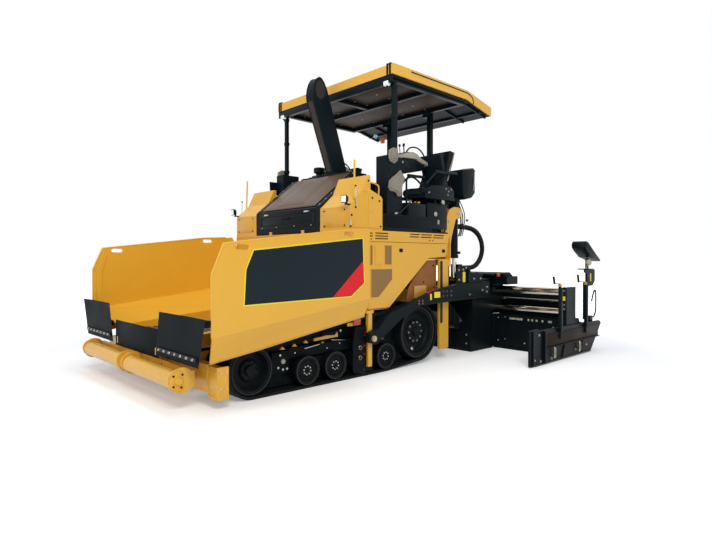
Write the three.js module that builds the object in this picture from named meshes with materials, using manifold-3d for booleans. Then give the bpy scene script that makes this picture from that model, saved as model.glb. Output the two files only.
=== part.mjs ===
// Tracked asphalt paver with an extending screed.
// Millimetres, +X to the hopper, +Y to the machine's left, +Z up, ground at Z = 0.
import * as THREE from 'three';
import { mergeVertices } from 'three/addons/utils/BufferGeometryUtils.js';
import Module from 'manifold-3d';

const wasm = await Module();
wasm.setup();

// ---------------------------------------------------------------- driving dimensions
const SEAT_GAP = 0.3;          // left between faces that touch
const CLEAR = 6;               // left between faces that move past each other
const PIN_GAP = 0.6;           // left round a pin or a slide tube

const BODY_HALF = 1275;        // half the tractor's width
const BODY_REAR = -1650;
const BODY_FRONT = 235;        // front face of the hopper's rear wall
const FACE_X = 246;            // plane of the hood, enclosures and ledge above that wall
const DECK_TOP = 1718;         // top of the body
const SHEET = 14;              // welded plate
const DOOR_THICKNESS = 30;
const PANEL = 35;              // side covers, outside the frame's walls
const deckHalf = BODY_HALF - PANEL;

const TRACK_WIDTH = 457;
const BELT = 30;
const IDLER_X = 1571;
const IDLER_RADIUS = 245;
const DRIVE_X = -976;
const DRIVE_Z = 426;
const DRIVE_RADIUS = 348;
const ROAD_WHEELS_X = [882, 480, 56, -347];
const ROAD_WHEEL_RADIUS = 160;

const FRAME_HALF = 790;        // outer face of the frame's side plates
const FRAME_BOTTOM = 330;
const TUNNEL_HALF = 700;       // outer wall of the conveyor tunnels
const TUNNEL_FLOOR = 545;
const TUNNEL_HEIGHT = 360;
const NOSE_FRONT = 2150;
const NOSE_SWEEP = 110;        // how far the nose falls back at its ends, for the beam's swing
const NOSE_FLAT = 10;          // half of the flat at its middle

const WING_OVERHANG = 309;     // how far the hopper reaches past the tractor's side
const HOPPER_HALF = BODY_HALF + WING_OVERHANG;
const WING_FRONT = 2178;
const WING_HINGE_Y = 715;
const WING_HINGE_Z = 500;
const WING_SWEEP = 95;         // inside the hinge, where the folding wing's web comes down

const PIVOT_OUT = 28;          // push beam's pivot ahead of the nose
const PIVOT_TOP = 405;
const PIVOT_FOOT = 185;
const ROLLER_X = 2318;
const ROLLER_Z = 295;
const ROLLER_RADIUS = 83;
const PLATE_RADIUS = 92;       // round front of the roller's end plates
const ROLLER_HALF = 1215;      // outer face of the end plates
const APRON_X = 2215;
const APRON_Z = 480;
const APRON_HALF = 520;

const HOOD_HALF = 710;
const HOOD_REAR = -397;
const HOOD_SLOPE_FOOT = DECK_TOP + 312;
const HOOD_TOP = DECK_TOP + 822;
const STACK_Y = 100;
const STACK_WIDTH = 150;

const CANOPY_HALF = 1237;
const CANOPY_FRONT = -500;
const CANOPY_REAR = -2752;
const CANOPY_BEVEL = -2121;
const CANOPY_TOP = 3860;
const CANOPY_DEPTH = 134;
const CANOPY_DROP = 130;       // how far the rear edge falls

const TOW_X = -20;
const TOW_Z = 450;
const ARM_OFFSET = 47;         // gap between the tractor's side and the tow arm
const ARM_INNER = BODY_HALF + ARM_OFFSET;
const ARM_THICKNESS = 60;

const SCREED_FRONT = -2250;
const SCREED_DEPTH = 600;
const SCREED_HALF = 1225;
const SCREED_TOP = 900;
const EXTENDER_DEPTH = 560;
const EXTENDER_LENGTH = 1180;
const EXTENDER_OUT = 2395;     // outer face of the extender, drawn out
const EXTENDER_HEIGHT = 520;
const GATE_REAR = -4000;
const GATE_THICKNESS = 26;
const TUBE_UPPER_RADIUS = 60;
const TUBE_LOWER_RADIUS = 45;
const TUBE_UPPER_Z = 915;
const TUBE_LOWER_Z = 635;
const HOUSING_TOP = 1000;      // top of the block that carries the slide tubes

const AUGER_X = -1950;
const AUGER_Z = 420;
const AUGER_RADIUS = 178;
const AUGER_PITCH = 300;
const AUGER_END = 1180;
const GEARBOX_HALF = 90;

const hosePort = { x: -2420, y: 800, z: DECK_TOP + 182 };
const valveBlock = { x: -2520, y: 800, z: 1245 };

const LIFT_X = -1985;
const LIFT_Y = 1100;
const LIFT_TOP = 2060;
const LIFT_BARREL_END = 1400;
const LIFT_EYE_Z = 1085;

// ---------------------------------------------------------------- finishes
const finish = (color, roughness, metalness) =>
  new THREE.MeshStandardMaterial({ color, roughness, metalness });
const YELLOW = finish(0xe8b23c, 0.45, 0.1);
const BLACK = finish(0x17191b, 0.55, 0.2);
const DARK_GREY = finish(0x3a3a38, 0.6, 0.1);
const RUBBER = finish(0x151515, 0.9, 0);
const CHROME = finish(0xd9dade, 0.15, 1);
const STEEL = finish(0x8a8a88, 0.4, 0.9);
const VINYL = finish(0x1c1c1e, 0.8, 0);

// ---------------------------------------------------------------- shape helpers
const paver = new THREE.Group();

function add(name, geometry, material) {
  const mesh = new THREE.Mesh(geometry, material);
  mesh.name = name;
  paver.add(mesh);
  return mesh;
}

function toSolid(geometry) {
  const bare = geometry.clone();
  for (const name of Object.keys(bare.attributes)) {
    if (name !== 'position') bare.deleteAttribute(name);
  }
  const merged = mergeVertices(bare, 1e-3);
  return new wasm.Manifold(new wasm.Mesh({
    numProp: 3,
    vertProperties: new Float32Array(merged.attributes.position.array),
    triVerts: new Uint32Array(merged.index.array),
  }));
}

function toGeometry(solid) {
  const { vertProperties, triVerts } = solid.getMesh();
  const geometry = new THREE.BufferGeometry();
  geometry.setAttribute('position', new THREE.BufferAttribute(vertProperties, 3));
  geometry.setIndex(new THREE.BufferAttribute(triVerts, 1));
  return geometry;
}

function join(...pieces) {
  return toGeometry(pieces.flat().map(toSolid).reduce((whole, next) => whole.add(next)));
}

function cut(body, ...tools) {
  const cutters = tools.flat().map(toSolid);
  return toGeometry(cutters.reduce((left, tool) => left.subtract(tool), toSolid(body)));
}

// The same piece on the machine's other side.
function mirrored(geometry) {
  const copy = geometry.index ? geometry.toNonIndexed() : geometry.clone();
  copy.scale(1, -1, 1);
  const at = copy.attributes.position;
  const corner = new THREE.Vector3();
  const other = new THREE.Vector3();
  for (let i = 0; i < at.count; i += 3) {
    corner.fromBufferAttribute(at, i + 1);
    other.fromBufferAttribute(at, i + 2);
    at.setXYZ(i + 1, other.x, other.y, other.z);
    at.setXYZ(i + 2, corner.x, corner.y, corner.z);
  }
  for (const name of Object.keys(copy.attributes)) {
    if (name !== 'position') copy.deleteAttribute(name);
  }
  return copy;
}

function addPair(name, leftGeometry, material) {
  add(`${name}_left`, leftGeometry, material);
  add(`${name}_right`, mirrored(leftGeometry), material);
}

function block(x0, x1, y0, y1, z0, z1) {
  const box = new THREE.BoxGeometry(x1 - x0, y1 - y0, z1 - z0);
  return box.translate((x0 + x1) / 2, (y0 + y1) / 2, (z0 + z1) / 2);
}

function bothSides(geometry) {
  return [geometry, mirrored(geometry)];
}

const outline = (points) => new THREE.Shape(points.map(([u, v]) => new THREE.Vector2(u, v)));

// A side view (x, z) drawn between two planes of y.
function sidePlate(shape, y0, y1, curveSegments = 12) {
  const drawn = shape instanceof THREE.Shape ? shape : outline(shape);
  const settings = { depth: y1 - y0, bevelEnabled: false, curveSegments };
  const plate = new THREE.ExtrudeGeometry(drawn, settings);
  return plate.rotateX(Math.PI / 2).translate(0, y1, 0);
}

// A front view (y, z) drawn between two planes of x.
function crossPlate(shape, x0, x1) {
  const drawn = shape instanceof THREE.Shape ? shape : outline(shape);
  const plate = new THREE.ExtrudeGeometry(drawn, { depth: x1 - x0, bevelEnabled: false });
  const turn = new THREE.Matrix4().makeBasis(
    new THREE.Vector3(0, 1, 0), new THREE.Vector3(0, 0, 1), new THREE.Vector3(1, 0, 0));
  return plate.applyMatrix4(turn).translate(x0, 0, 0);
}

// A plan view (x, y) drawn between two heights.
function floorPlate(points, z0, z1) {
  return new THREE.ExtrudeGeometry(outline(points), { depth: z1 - z0, bevelEnabled: false })
    .translate(0, 0, z0);
}

// A flat quadrilateral given thickness on the side away from its normal.
function panel(corners, thickness) {
  const [a, b, c, d] = corners.map((p) => new THREE.Vector3(...p));
  const across = new THREE.Vector3().subVectors(d, b);
  const normal = new THREE.Vector3().subVectors(c, a).cross(across).normalize();
  const back = [a, b, c, d].map((p) => p.clone().addScaledVector(normal, -thickness));
  const at = [a, b, c, d, ...back].flatMap((p) => [p.x, p.y, p.z]);
  const faces = [[0, 1, 2], [0, 2, 3], [6, 5, 4], [7, 6, 4]];
  for (let i = 0; i < 4; i += 1) {
    const next = (i + 1) % 4;
    faces.push([i, i + 4, next + 4], [i, next + 4, next]);
  }
  const geometry = new THREE.BufferGeometry();
  geometry.setAttribute('position', new THREE.Float32BufferAttribute(at, 3));
  geometry.setIndex(faces.flat());
  return geometry;
}

function rod(from, to, radius, segments = 16) {
  const start = new THREE.Vector3(...from);
  const along = new THREE.Vector3(...to).sub(start);
  const turn = new THREE.Quaternion().setFromUnitVectors(
    new THREE.Vector3(0, 1, 0), along.clone().normalize());
  const middle = start.clone().addScaledVector(along, 0.5);
  return new THREE.CylinderGeometry(radius, radius, along.length(), segments)
    .applyQuaternion(turn).translate(middle.x, middle.y, middle.z);
}

const drum = (x, z, radius, y0, y1, segments = 28) => rod([x, y0, z], [x, y1, z], radius, segments);

// ---------------------------------------------------------------- tracks
const idlerZ = BELT + IDLER_RADIUS + CLEAR - 1;
const roadZ = BELT + ROAD_WHEEL_RADIUS + SEAT_GAP;
const trackOuter = BODY_HALF;
const trackInner = trackOuter - TRACK_WIDTH;
const trackMiddle = trackOuter - TRACK_WIDTH / 2;

// The belt wraps three circles; each tangent's normal comes from the two radii.
function beltLoop(grow) {
  const circles = [
    [ROAD_WHEELS_X.at(-1), roadZ, ROAD_WHEEL_RADIUS + SEAT_GAP],
    [IDLER_X, idlerZ, IDLER_RADIUS + CLEAR - 1],
    [DRIVE_X, DRIVE_Z, DRIVE_RADIUS + CLEAR - 1],
  ].map(([x, z, r]) => [x, z, r + grow]);
  const normals = circles.map(([x, z, r], i) => {
    const [nx, nz, nr] = circles[(i + 1) % circles.length];
    return Math.atan2(nz - z, nx - x) - Math.acos((r - nr) / Math.hypot(nx - x, nz - z));
  });
  const loop = new THREE.Path();
  circles.forEach(([x, z, r], i) => {
    const start = normals[(i + circles.length - 1) % circles.length];
    loop.absarc(x, z, r, start, normals[i], false);
  });
  return loop;
}

function beltGeometry() {
  const belt = new THREE.Shape(beltLoop(BELT).getPoints(12));
  belt.holes.push(new THREE.Path(beltLoop(0).getPoints(12)));
  return sidePlate(belt, trackInner, trackOuter);
}
addPair('track', beltGeometry(), RUBBER);

// Pressed-steel disc wheel with a rubber rim, turned about Y.
function discWheel(x, z, radius, inner, outer, dish) {
  const rim = outer - inner;
  const profile = [
    [0, dish], [radius * 0.72, dish], [radius * 0.8, 8], [radius - 4, 8], [radius, 12],
    [radius, rim], [0, rim], [0, dish],
  ].map(([r, depth]) => new THREE.Vector2(r, outer - depth)).reverse();
  return new THREE.LatheGeometry(profile, 32).translate(x, 0, z);
}

const finalDriveFace = trackInner + 32;
const wheelFace = BODY_HALF - 14;
const driveWheel = discWheel(DRIVE_X, DRIVE_Z, DRIVE_RADIUS, finalDriveFace, wheelFace, 70);
const idlerWheel = discWheel(IDLER_X, idlerZ, IDLER_RADIUS, finalDriveFace, wheelFace, 60);
addPair('drive_wheel', driveWheel, RUBBER);
addPair('idler_wheel', idlerWheel, RUBBER);

function undercarriage() {
  const beamTop = 450;
  const beam = sidePlate([
    [-560, 300], [-420, beamTop - 20], [900, beamTop], [1250, 400], [1290, 330], [1240, 250],
    [900, 235], [-420, 235],
  ], trackMiddle - 46, trackMiddle + 34);
  const wheels = ROAD_WHEELS_X.flatMap((x) => [
    drum(x, roadZ, ROAD_WHEEL_RADIUS, trackMiddle + 48, trackOuter - 13, 24),
    drum(x, roadZ, ROAD_WHEEL_RADIUS, trackInner + 13, trackMiddle - 62, 24),
    drum(x, roadZ, 55, trackMiddle - 146, trackMiddle + 154, 16),
  ]);
  const forkInner = trackInner + 8;
  const fork = join(
    sidePlate([
      [1200, 250], [IDLER_X, idlerZ - 50], [IDLER_X + 50, idlerZ], [IDLER_X, idlerZ + 50], [1200, 340],
    ], forkInner, finalDriveFace - SEAT_GAP),
    block(1200, 1245, forkInner, trackMiddle + 4, 250, 340));
  const frameLinks = [-250, 700].map(
    (x) => block(x - 90, x + 90, FRAME_HALF + SEAT_GAP, trackMiddle - 36, 340, 430));
  const idlerRoom = drum(IDLER_X, idlerZ, IDLER_RADIUS + CLEAR, trackInner - 18, trackOuter + 25);
  return join(cut(join(beam, wheels, frameLinks), idlerRoom), fork);
}
addPair('undercarriage', undercarriage(), BLACK);

// ---------------------------------------------------------------- main frame
const hoodHinge = { x: FACE_X - 14, z: DECK_TOP + 28, radius: 8, y: 360 };
const wingRear = FACE_X + CLEAR;
const hingeRear = wingRear + 60;
const hingeFront = WING_FRONT - 140;
const tunnelRoof = TUNNEL_FLOOR + TUNNEL_HEIGHT;
const conveyorFoot = TUNNEL_FLOOR - 15;
const idlerTop = idlerZ + IDLER_RADIUS + CLEAR + BELT;
const driveTop = DRIVE_Z + DRIVE_RADIUS + CLEAR + BELT;
const FENDER_KNEE_X = -404;
const kneeShare = (IDLER_X - FENDER_KNEE_X) / (IDLER_X - DRIVE_X);
const beltAtKnee = idlerTop + (driveTop - idlerTop) * kneeShare;
const FENDER_GAP = 13;         // left over the belt's upper run
const fenderFront = [BODY_FRONT, beltAtKnee + FENDER_GAP];
const fenderKnee = [FENDER_KNEE_X, fenderFront[1]];
const fenderTop = [-1180, DECK_TOP - 338];
const seamZ = DECK_TOP - 114;  // joint between the doors and the upper side covers

function mainFrame() {
  const side = sidePlate([
    [BODY_REAR, FRAME_BOTTOM], [2080, FRAME_BOTTOM], [2080, 378], [NOSE_FRONT - 20, 420],
    [NOSE_FRONT - 20, WING_HINGE_Z - 50], [BODY_FRONT, WING_HINGE_Z - 50],
    [BODY_FRONT, DECK_TOP - SHEET], [BODY_REAR, DECK_TOP - SHEET],
  ], FRAME_HALF - 25, FRAME_HALF);
  const centre = block(BODY_REAR, NOSE_FRONT - 60, -40, 40, 400, TUNNEL_FLOOR - 20);
  const centreWall = block(BODY_REAR, BODY_FRONT, -20, 20, 400, tunnelRoof + SHEET);
  const crossTubes = [-1500, -800, 0, 900, 1900].flatMap((x) => [
    block(x, x + 90, -FRAME_HALF + 10, FRAME_HALF - 10, 400, 460),
    block(x, x + 90, -TUNNEL_HALF + 30, TUNNEL_HALF - 30, 450, conveyorFoot - SEAT_GAP)]);
  const roof = block(
    BODY_REAR, BODY_FRONT, -FRAME_HALF + 5, FRAME_HALF - 5, tunnelRoof, tunnelRoof + SHEET);
  const top = block(BODY_REAR, FACE_X, -deckHalf, deckHalf, DECK_TOP - SHEET, DECK_TOP);
  const wall = (x0, x1, lower) => crossPlate([
    [2 - deckHalf, DECK_TOP - 5], [2 - deckHalf, lower], [-FRAME_HALF, lower], [-FRAME_HALF, 400],
    [FRAME_HALF, 400], [FRAME_HALF, lower], [deckHalf - 2, lower], [deckHalf - 2, DECK_TOP - 5],
  ], x0, x1);
  const tunnels = bothSides(block(-4000, 4000, 20, TUNNEL_HALF, TUNNEL_FLOOR - 75, tunnelRoof));
  const walls = cut(
    join(
      wall(BODY_FRONT - SHEET, BODY_FRONT, fenderFront[1]),
      wall(BODY_REAR, BODY_REAR + SHEET, fenderTop[1])),
    tunnels);
  const liner = sidePlate([
    fenderFront, fenderKnee, fenderTop, [BODY_REAR, fenderTop[1]],
    [BODY_REAR, fenderTop[1] + SHEET], [fenderTop[0] - 5, fenderTop[1] + SHEET],
    [fenderKnee[0] - 5, fenderKnee[1] + SHEET], [fenderFront[0], fenderFront[1] + SHEET],
  ], FRAME_HALF - 10, deckHalf - 2);
  const noseHalf = BODY_HALF - 40;
  const nose = floorPlate([
    [NOSE_FRONT - 190, -noseHalf], [NOSE_FRONT - NOSE_SWEEP, -noseHalf], [NOSE_FRONT, -NOSE_FLAT],
    [NOSE_FRONT, NOSE_FLAT], [NOSE_FRONT - NOSE_SWEEP, noseHalf], [NOSE_FRONT - 190, noseHalf],
  ], 150, 410);
  const apronBar = block(NOSE_FRONT - 50, NOSE_FRONT - 30, -FRAME_HALF, FRAME_HALF, 378, WING_HINGE_Z - 50);
  const apronLug = block(
    NOSE_FRONT - 45, APRON_X + 20, APRON_HALF + SEAT_GAP, APRON_HALF + 20, 430, APRON_Z + 22);
  const noseLegs = block(NOSE_FRONT - 150, NOSE_FRONT - 100, FRAME_HALF - 60, FRAME_HALF, 200, 410);
  const pivotX = NOSE_FRONT + PIVOT_OUT;
  const ears = [[PIVOT_TOP + SEAT_GAP, PIVOT_TOP + 20], [PIVOT_FOOT - 20, PIVOT_FOOT - SEAT_GAP]].map(
    ([z0, z1]) => block(NOSE_FRONT - 30, pivotX + 30, -35, 35, z0, z1));
  const noseCollar = block(NOSE_FRONT - 30, NOSE_FRONT - 2, -35, 35, PIVOT_FOOT - 20, PIVOT_TOP + 20);
  // Bent plates ahead of the belts push stray mix aside.
  const deflectorHalf = BODY_HALF + 125;
  const deflector = join(
    block(NOSE_FRONT - 190, NOSE_FRONT - 120, noseHalf - 10, deflectorHalf, 300, 400),
    block(NOSE_FRONT - 120 - SHEET, NOSE_FRONT - 120, noseHalf - 10, deflectorHalf, 95, 400),
    block(NOSE_FRONT - 240, NOSE_FRONT - 120, deflectorHalf - SHEET, deflectorHalf, 95, 400));
  // Guide that carries the tow arm's pivot outside the track.
  const guideOuter = ARM_INNER - SEAT_GAP;
  const guideTop = fenderFront[1] + 10;
  const towGuide = join(
    block(TOW_X - 32, TOW_X + 32, trackOuter + CLEAR, guideOuter, 112, guideTop),
    block(TOW_X - 60, TOW_X + 60, BODY_HALF - 75, guideOuter, guideTop - 30, guideTop),
    drum(TOW_X, TOW_Z, 36, trackOuter + CLEAR, ARM_INNER + ARM_THICKNESS + 20, 20));
  const hingeLugs = [[hingeRear - 16, hingeRear - SEAT_GAP], [hingeFront + SEAT_GAP, hingeFront + 16]].map(
    ([x0, x1]) => block(x0, x1, WING_HINGE_Y - 20, FRAME_HALF - 5, 430, WING_HINGE_Z + 20));
  const hoodLug = cut(
    block(
      hoodHinge.x - 12, hoodHinge.x + 12, hoodHinge.y - 30, hoodHinge.y + 30, DECK_TOP - 5,
      hoodHinge.z + 14),
    drum(hoodHinge.x, hoodHinge.z, hoodHinge.radius + PIN_GAP, 0, BODY_HALF, 16));
  const augerBox = block(AUGER_X - 70, AUGER_X + 70, -GEARBOX_HALF, GEARBOX_HALF, 330, 700);
  const augerHanger = block(AUGER_X - 20, BODY_REAR + 10, -40, 40, 620, 700);
  const bayDoorways = bothSides(
    block(-1400, -120, FRAME_HALF - 60, FRAME_HALF + 30, tunnelRoof + 60, seamZ - 4));
  const hoodWell = block(
    HOOD_REAR + 60, FACE_X - 50, -HOOD_HALF + 60, HOOD_HALF - 60, DECK_TOP - 60, DECK_TOP + 60);
  const paired = [
    deflector, towGuide, side, liner, hoodLug, apronLug, noseLegs, ...hingeLugs,
  ].flatMap(bothSides);
  const welded = join(
    paired, augerBox, augerHanger, ears, noseCollar, centre, centreWall, crossTubes, roof, top, walls, nose,
    apronBar);
  return cut(welded, bayDoorways, hoodWell);
}

// The frame bolts together from three weldments: tunnels, engine bay over them, hopper's nose.
const bayFoot = tunnelRoof + SHEET;
const wholeFrame = mainFrame();
const beyond = 5000;
const ahead = (x) => block(x, beyond, -beyond, beyond, -beyond, bayFoot);
const above = (z) => block(-beyond, beyond, -beyond, beyond, z, beyond);
const behind = block(-beyond, BODY_FRONT + SEAT_GAP, -beyond, beyond, -beyond, beyond);
const below = block(-beyond, beyond, -beyond, beyond, -beyond, bayFoot + SEAT_GAP);
add('main_frame', cut(wholeFrame, ahead(BODY_FRONT), above(bayFoot)), YELLOW);
add('front_frame', cut(wholeFrame, behind, above(bayFoot)), YELLOW);
add('engine_bay', cut(wholeFrame, below), YELLOW);

// Planetary final drive that turns each drive wheel, bolted to the frame's side.
addPair('final_drive', drum(
  DRIVE_X, DRIVE_Z, 170, FRAME_HALF + SEAT_GAP, finalDriveFace - SEAT_GAP, 24), BLACK);

const engine = [-1000, 60, -360, 360];
add('engine_block', block(...engine, bayFoot + SEAT_GAP, DECK_TOP - 68), BLACK);

// Two slat conveyors carry the mix from the hopper through the tunnels.
function conveyors() {
  const rearShaft = BODY_REAR - 50;
  const outer = WING_HINGE_Y - WING_SWEEP;
  const deck = block(rearShaft - 30, NOSE_FRONT - 80, 48, outer, conveyorFoot, TUNNEL_FLOOR + 20);
  const shafts = [NOSE_FRONT - 110, rearShaft].map(
    (x) => drum(x, TUNNEL_FLOOR - 25, 42, 48, outer, 12));
  const axle = drum(rearShaft, TUNNEL_FLOOR - 25, 25, -200, 200, 12);
  return join(bothSides(deck), shafts.flatMap(bothSides), axle);
}
add('conveyors', conveyors(), STEEL);

// ---------------------------------------------------------------- push roller
function pushBeam() {
  const bar = block(NOSE_FRONT + CLEAR, NOSE_FRONT + 44, -ROLLER_HALF, ROLLER_HALF, 220, 370);
  const pivotX = NOSE_FRONT + PIVOT_OUT;
  const boss = rod([pivotX, 0, PIVOT_FOOT], [pivotX, 0, PIVOT_TOP], 19, 20);
  const plate = (y0, y1) => join(
    drum(ROLLER_X - 40, ROLLER_Z, 118, y0, y1, 28),
    drum(ROLLER_X, ROLLER_Z + 10, PLATE_RADIUS, y0, y1, 24));
  const plates = [plate(ROLLER_HALF - 20, ROLLER_HALF), plate(60, 80)];
  return join(bar, boss, plates.flatMap(bothSides));
}
add('push_beam', pushBeam(), YELLOW);

addPair('push_roller', join(
  drum(ROLLER_X, ROLLER_Z, ROLLER_RADIUS, 86, ROLLER_HALF - 26, 28),
  drum(ROLLER_X, ROLLER_Z, 30, 80 + SEAT_GAP, ROLLER_HALF - 20 - SEAT_GAP, 16)), YELLOW);

// ---------------------------------------------------------------- hopper

const webY = WING_HINGE_Y + 26;      // wing's web stands on its hinge tube
const floorInnerFront = idlerTop + 45;
const floorInnerRear = fenderFront[1];
const creaseFront = floorInnerFront + 95;
const creaseRear = floorInnerRear + 181;
const wingTopRear = DECK_TOP - 2;
const wingTop = { front: [2058, 1530], rear: [620, wingTopRear - 16] };
const wingSlots = [1874, 560];       // lifting slots, this far forward

function wingTopAt(x) {
  const { front, rear } = wingTop;
  return front[1] + (rear[1] - front[1]) * (front[0] - x) / (front[0] - rear[0]);
}

function wing() {
  const skinShape = outline([
    [WING_FRONT, creaseFront], [WING_FRONT, 1249], wingTop.front, wingTop.rear,
    [wingRear, wingTopRear], [wingRear, creaseRear],
  ]);
  for (const x of wingSlots) {
    const z = wingTopAt(x) - 49;
    const slot = new THREE.Path();
    slot.absarc(x + 48, z, 29, -Math.PI / 2, Math.PI / 2, false);
    slot.absarc(x - 48, z, 29, Math.PI / 2, Math.PI * 1.5, false);
    skinShape.holes.push(slot);
  }
  const skin = sidePlate(skinShape, HOPPER_HALF - SHEET, HOPPER_HALF, 8);
  const skirt = panel([
    [2127, HOPPER_HALF - 134, 456], [wingRear, HOPPER_HALF - 84, creaseRear - 201],
    [wingRear, HOPPER_HALF, creaseRear], [WING_FRONT, HOPPER_HALF, creaseFront],
  ], SHEET);
  const floorOuter = HOPPER_HALF - SHEET + 4;
  const floorEnd = WING_FRONT - 30;
  const floor = panel([
    [wingRear, webY - 16, floorInnerRear], [floorEnd, webY - 16, floorInnerFront],
    [floorEnd, floorOuter, creaseFront + 55], [wingRear, floorOuter, creaseRear + 25],
  ], SHEET);
  const rearWall = crossPlate([
    [webY, floorInnerRear - 10], [HOPPER_HALF - 5, creaseRear + 10], [HOPPER_HALF - 5, wingTopRear - 2],
    [HOPPER_HALF - 220, wingTopRear - 2], [webY, floorInnerRear + 200],
  ], wingRear, wingRear + SHEET);
  const hingeTube = rod(
    [hingeRear, WING_HINGE_Y, WING_HINGE_Z], [hingeFront, WING_HINGE_Y, WING_HINGE_Z], 24, 16);
  const web = sidePlate([
    [hingeRear, WING_HINGE_Z], [hingeFront, WING_HINGE_Z], [hingeFront, floorInnerFront - 4],
    [hingeRear, floorInnerRear - 12],
  ], WING_HINGE_Y + 8, webY);
  return join(skin, skirt, floor, rearWall, hingeTube, web);
}
addPair('wing', wing(), YELLOW);

// Rubber flashing bolted across the front of each wing.
const flashingRear = WING_FRONT + SEAT_GAP + 60;
const flashingTop = creaseFront + 178;
const flashing = join(
  crossPlate([
    [WING_HINGE_Y - 118, 452], [HOPPER_HALF - 89, 452], [HOPPER_HALF + 53, flashingTop],
    [WING_HINGE_Y - 22, flashingTop],
  ], flashingRear, flashingRear + 16),
  block(
    WING_FRONT + SEAT_GAP, flashingRear + 5, HOPPER_HALF - 84, HOPPER_HALF, creaseFront + 100,
    creaseFront + 160));
addPair('flashing', flashing, RUBBER);

const apron = join(
  block(APRON_X - 8, APRON_X + 8, -APRON_HALF, APRON_HALF, APRON_Z, 680),
  rod([APRON_X, -APRON_HALF, APRON_Z], [APRON_X, APRON_HALF, APRON_Z], 16, 12));
add('apron', apron, BLACK);

// ---------------------------------------------------------------- engine housing

function hood() {
  const foot = DECK_TOP + 12;
  const shell = sidePlate([
    [FACE_X, foot], [FACE_X, HOOD_SLOPE_FOOT], [HOOD_REAR, HOOD_TOP], [HOOD_REAR, foot],
  ], -HOOD_HALF, HOOD_HALF);
  const inside = sidePlate([
    [FACE_X - 30, foot - 50], [FACE_X - 30, HOOD_SLOPE_FOOT - 18], [HOOD_REAR - 40, HOOD_TOP - 10],
    [HOOD_REAR - 40, foot - 50],
  ], -HOOD_HALF + 30, HOOD_HALF - 30);
  // Pockets in the front wall's foot leave room for the frame's lugs round each pin.
  const { x, z, radius, y } = hoodHinge;
  const pocket = block(x - 26, FACE_X + 10, y - 36, y + 36, foot - 20, z + 26);
  const pin = drum(x, z, radius, y - 40, y + 40, 16);
  return join(cut(shell, inside, bothSides(pocket)), bothSides(pin));
}
add('hood', hood(), BLACK);

const cowlFront = HOOD_REAR - CLEAR;
const cowlRear = -760;
const COWL_HALF = 520;
const COWL_TOP = HOOD_TOP + 20;
add('engine_cowl', sidePlate([
  [cowlFront, DECK_TOP + SEAT_GAP], [cowlFront, COWL_TOP], [cowlRear, COWL_TOP],
  [cowlRear, DECK_TOP + SEAT_GAP],
], -COWL_HALF, COWL_HALF), BLACK);

const enclosureInner = HOOD_HALF + CLEAR;
const enclosureRear = -310;
const doorFoot = fenderKnee[1] + 20;
const doorFront = -14 - CLEAR;
const doorHinge = { x: doorFront + 3, y: BODY_HALF + 14, radius: 9 };
const doorKnuckles = [doorFoot + 115, seamZ - 164];
const knuckleLength = 80;

function bodyPanel() {
  const enclosure = sidePlate([
    [FACE_X, DECK_TOP + SEAT_GAP], [FACE_X, HOOD_SLOPE_FOOT - 20],
    [40, DECK_TOP + 472], [-60, DECK_TOP + 682], [-100, DECK_TOP + 682], [-100, DECK_TOP + 512],
    [-288, DECK_TOP + 442], [enclosureRear, DECK_TOP + 412], [enclosureRear, DECK_TOP + SEAT_GAP],
  ], enclosureInner, BODY_HALF - 30);
  const cover = sidePlate([
    [BODY_REAR + 35, seamZ], [-14, seamZ], [-14, doorFoot], [BODY_FRONT, doorFoot],
    [BODY_FRONT, DECK_TOP + 20], [BODY_REAR + 35, DECK_TOP + 20],
  ], deckHalf + SEAT_GAP, BODY_HALF);
  const lug = (z0, z1) => join(
    rod([doorHinge.x, doorHinge.y, z0], [doorHinge.x, doorHinge.y, z1], doorHinge.radius, 12),
    block(doorHinge.x, doorHinge.x + 16, BODY_HALF - 5, doorHinge.y, z0, z1));
  const lugs = doorKnuckles.flatMap((z) => [
    lug(z - 30, z - SEAT_GAP), lug(z + knuckleLength + SEAT_GAP, z + knuckleLength + 30)]);
  return join(enclosure, cover, lugs);
}
addPair('body_panel', bodyPanel(), YELLOW);

function exhaustStack() {
  return sidePlate([
    [-717, COWL_TOP + SEAT_GAP], [-452, COWL_TOP + SEAT_GAP], [-84, 3548], [-206, 3870], [-368, 3607],
  ], STACK_Y - STACK_WIDTH / 2, STACK_Y + STACK_WIDTH / 2);
}
add('exhaust_stack', exhaustStack(), BLACK);

// ---------------------------------------------------------------- service doors
const coverInner = BODY_HALF - DOOR_THICKNESS;

function serviceDoor() {
  const leaf = sidePlate([
    [doorFront, doorFoot], [fenderKnee[0], doorFoot], [-1172, fenderTop[1] + 18],
    [-1560, fenderTop[1] + 38],
    [-1600, seamZ - CLEAR], [doorFront, seamZ - CLEAR],
  ], coverInner, BODY_HALF);
  const knuckles = doorKnuckles.map((z) => join(
    rod([doorHinge.x, doorHinge.y, z], [doorHinge.x, doorHinge.y, z + knuckleLength], doorHinge.radius, 12),
    block(doorHinge.x - 9, doorHinge.x, BODY_HALF - 5, doorHinge.y, z, z + knuckleLength)));
  return join(leaf, knuckles);
}
addPair('service_door', serviceDoor(), YELLOW);

// ---------------------------------------------------------------- operator's deck
const deckFloor = DECK_TOP + 44;
const PLATFORM_REAR = -2350;
const platformHalf = deckHalf - 1;
const walkHalf = 860;

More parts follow.
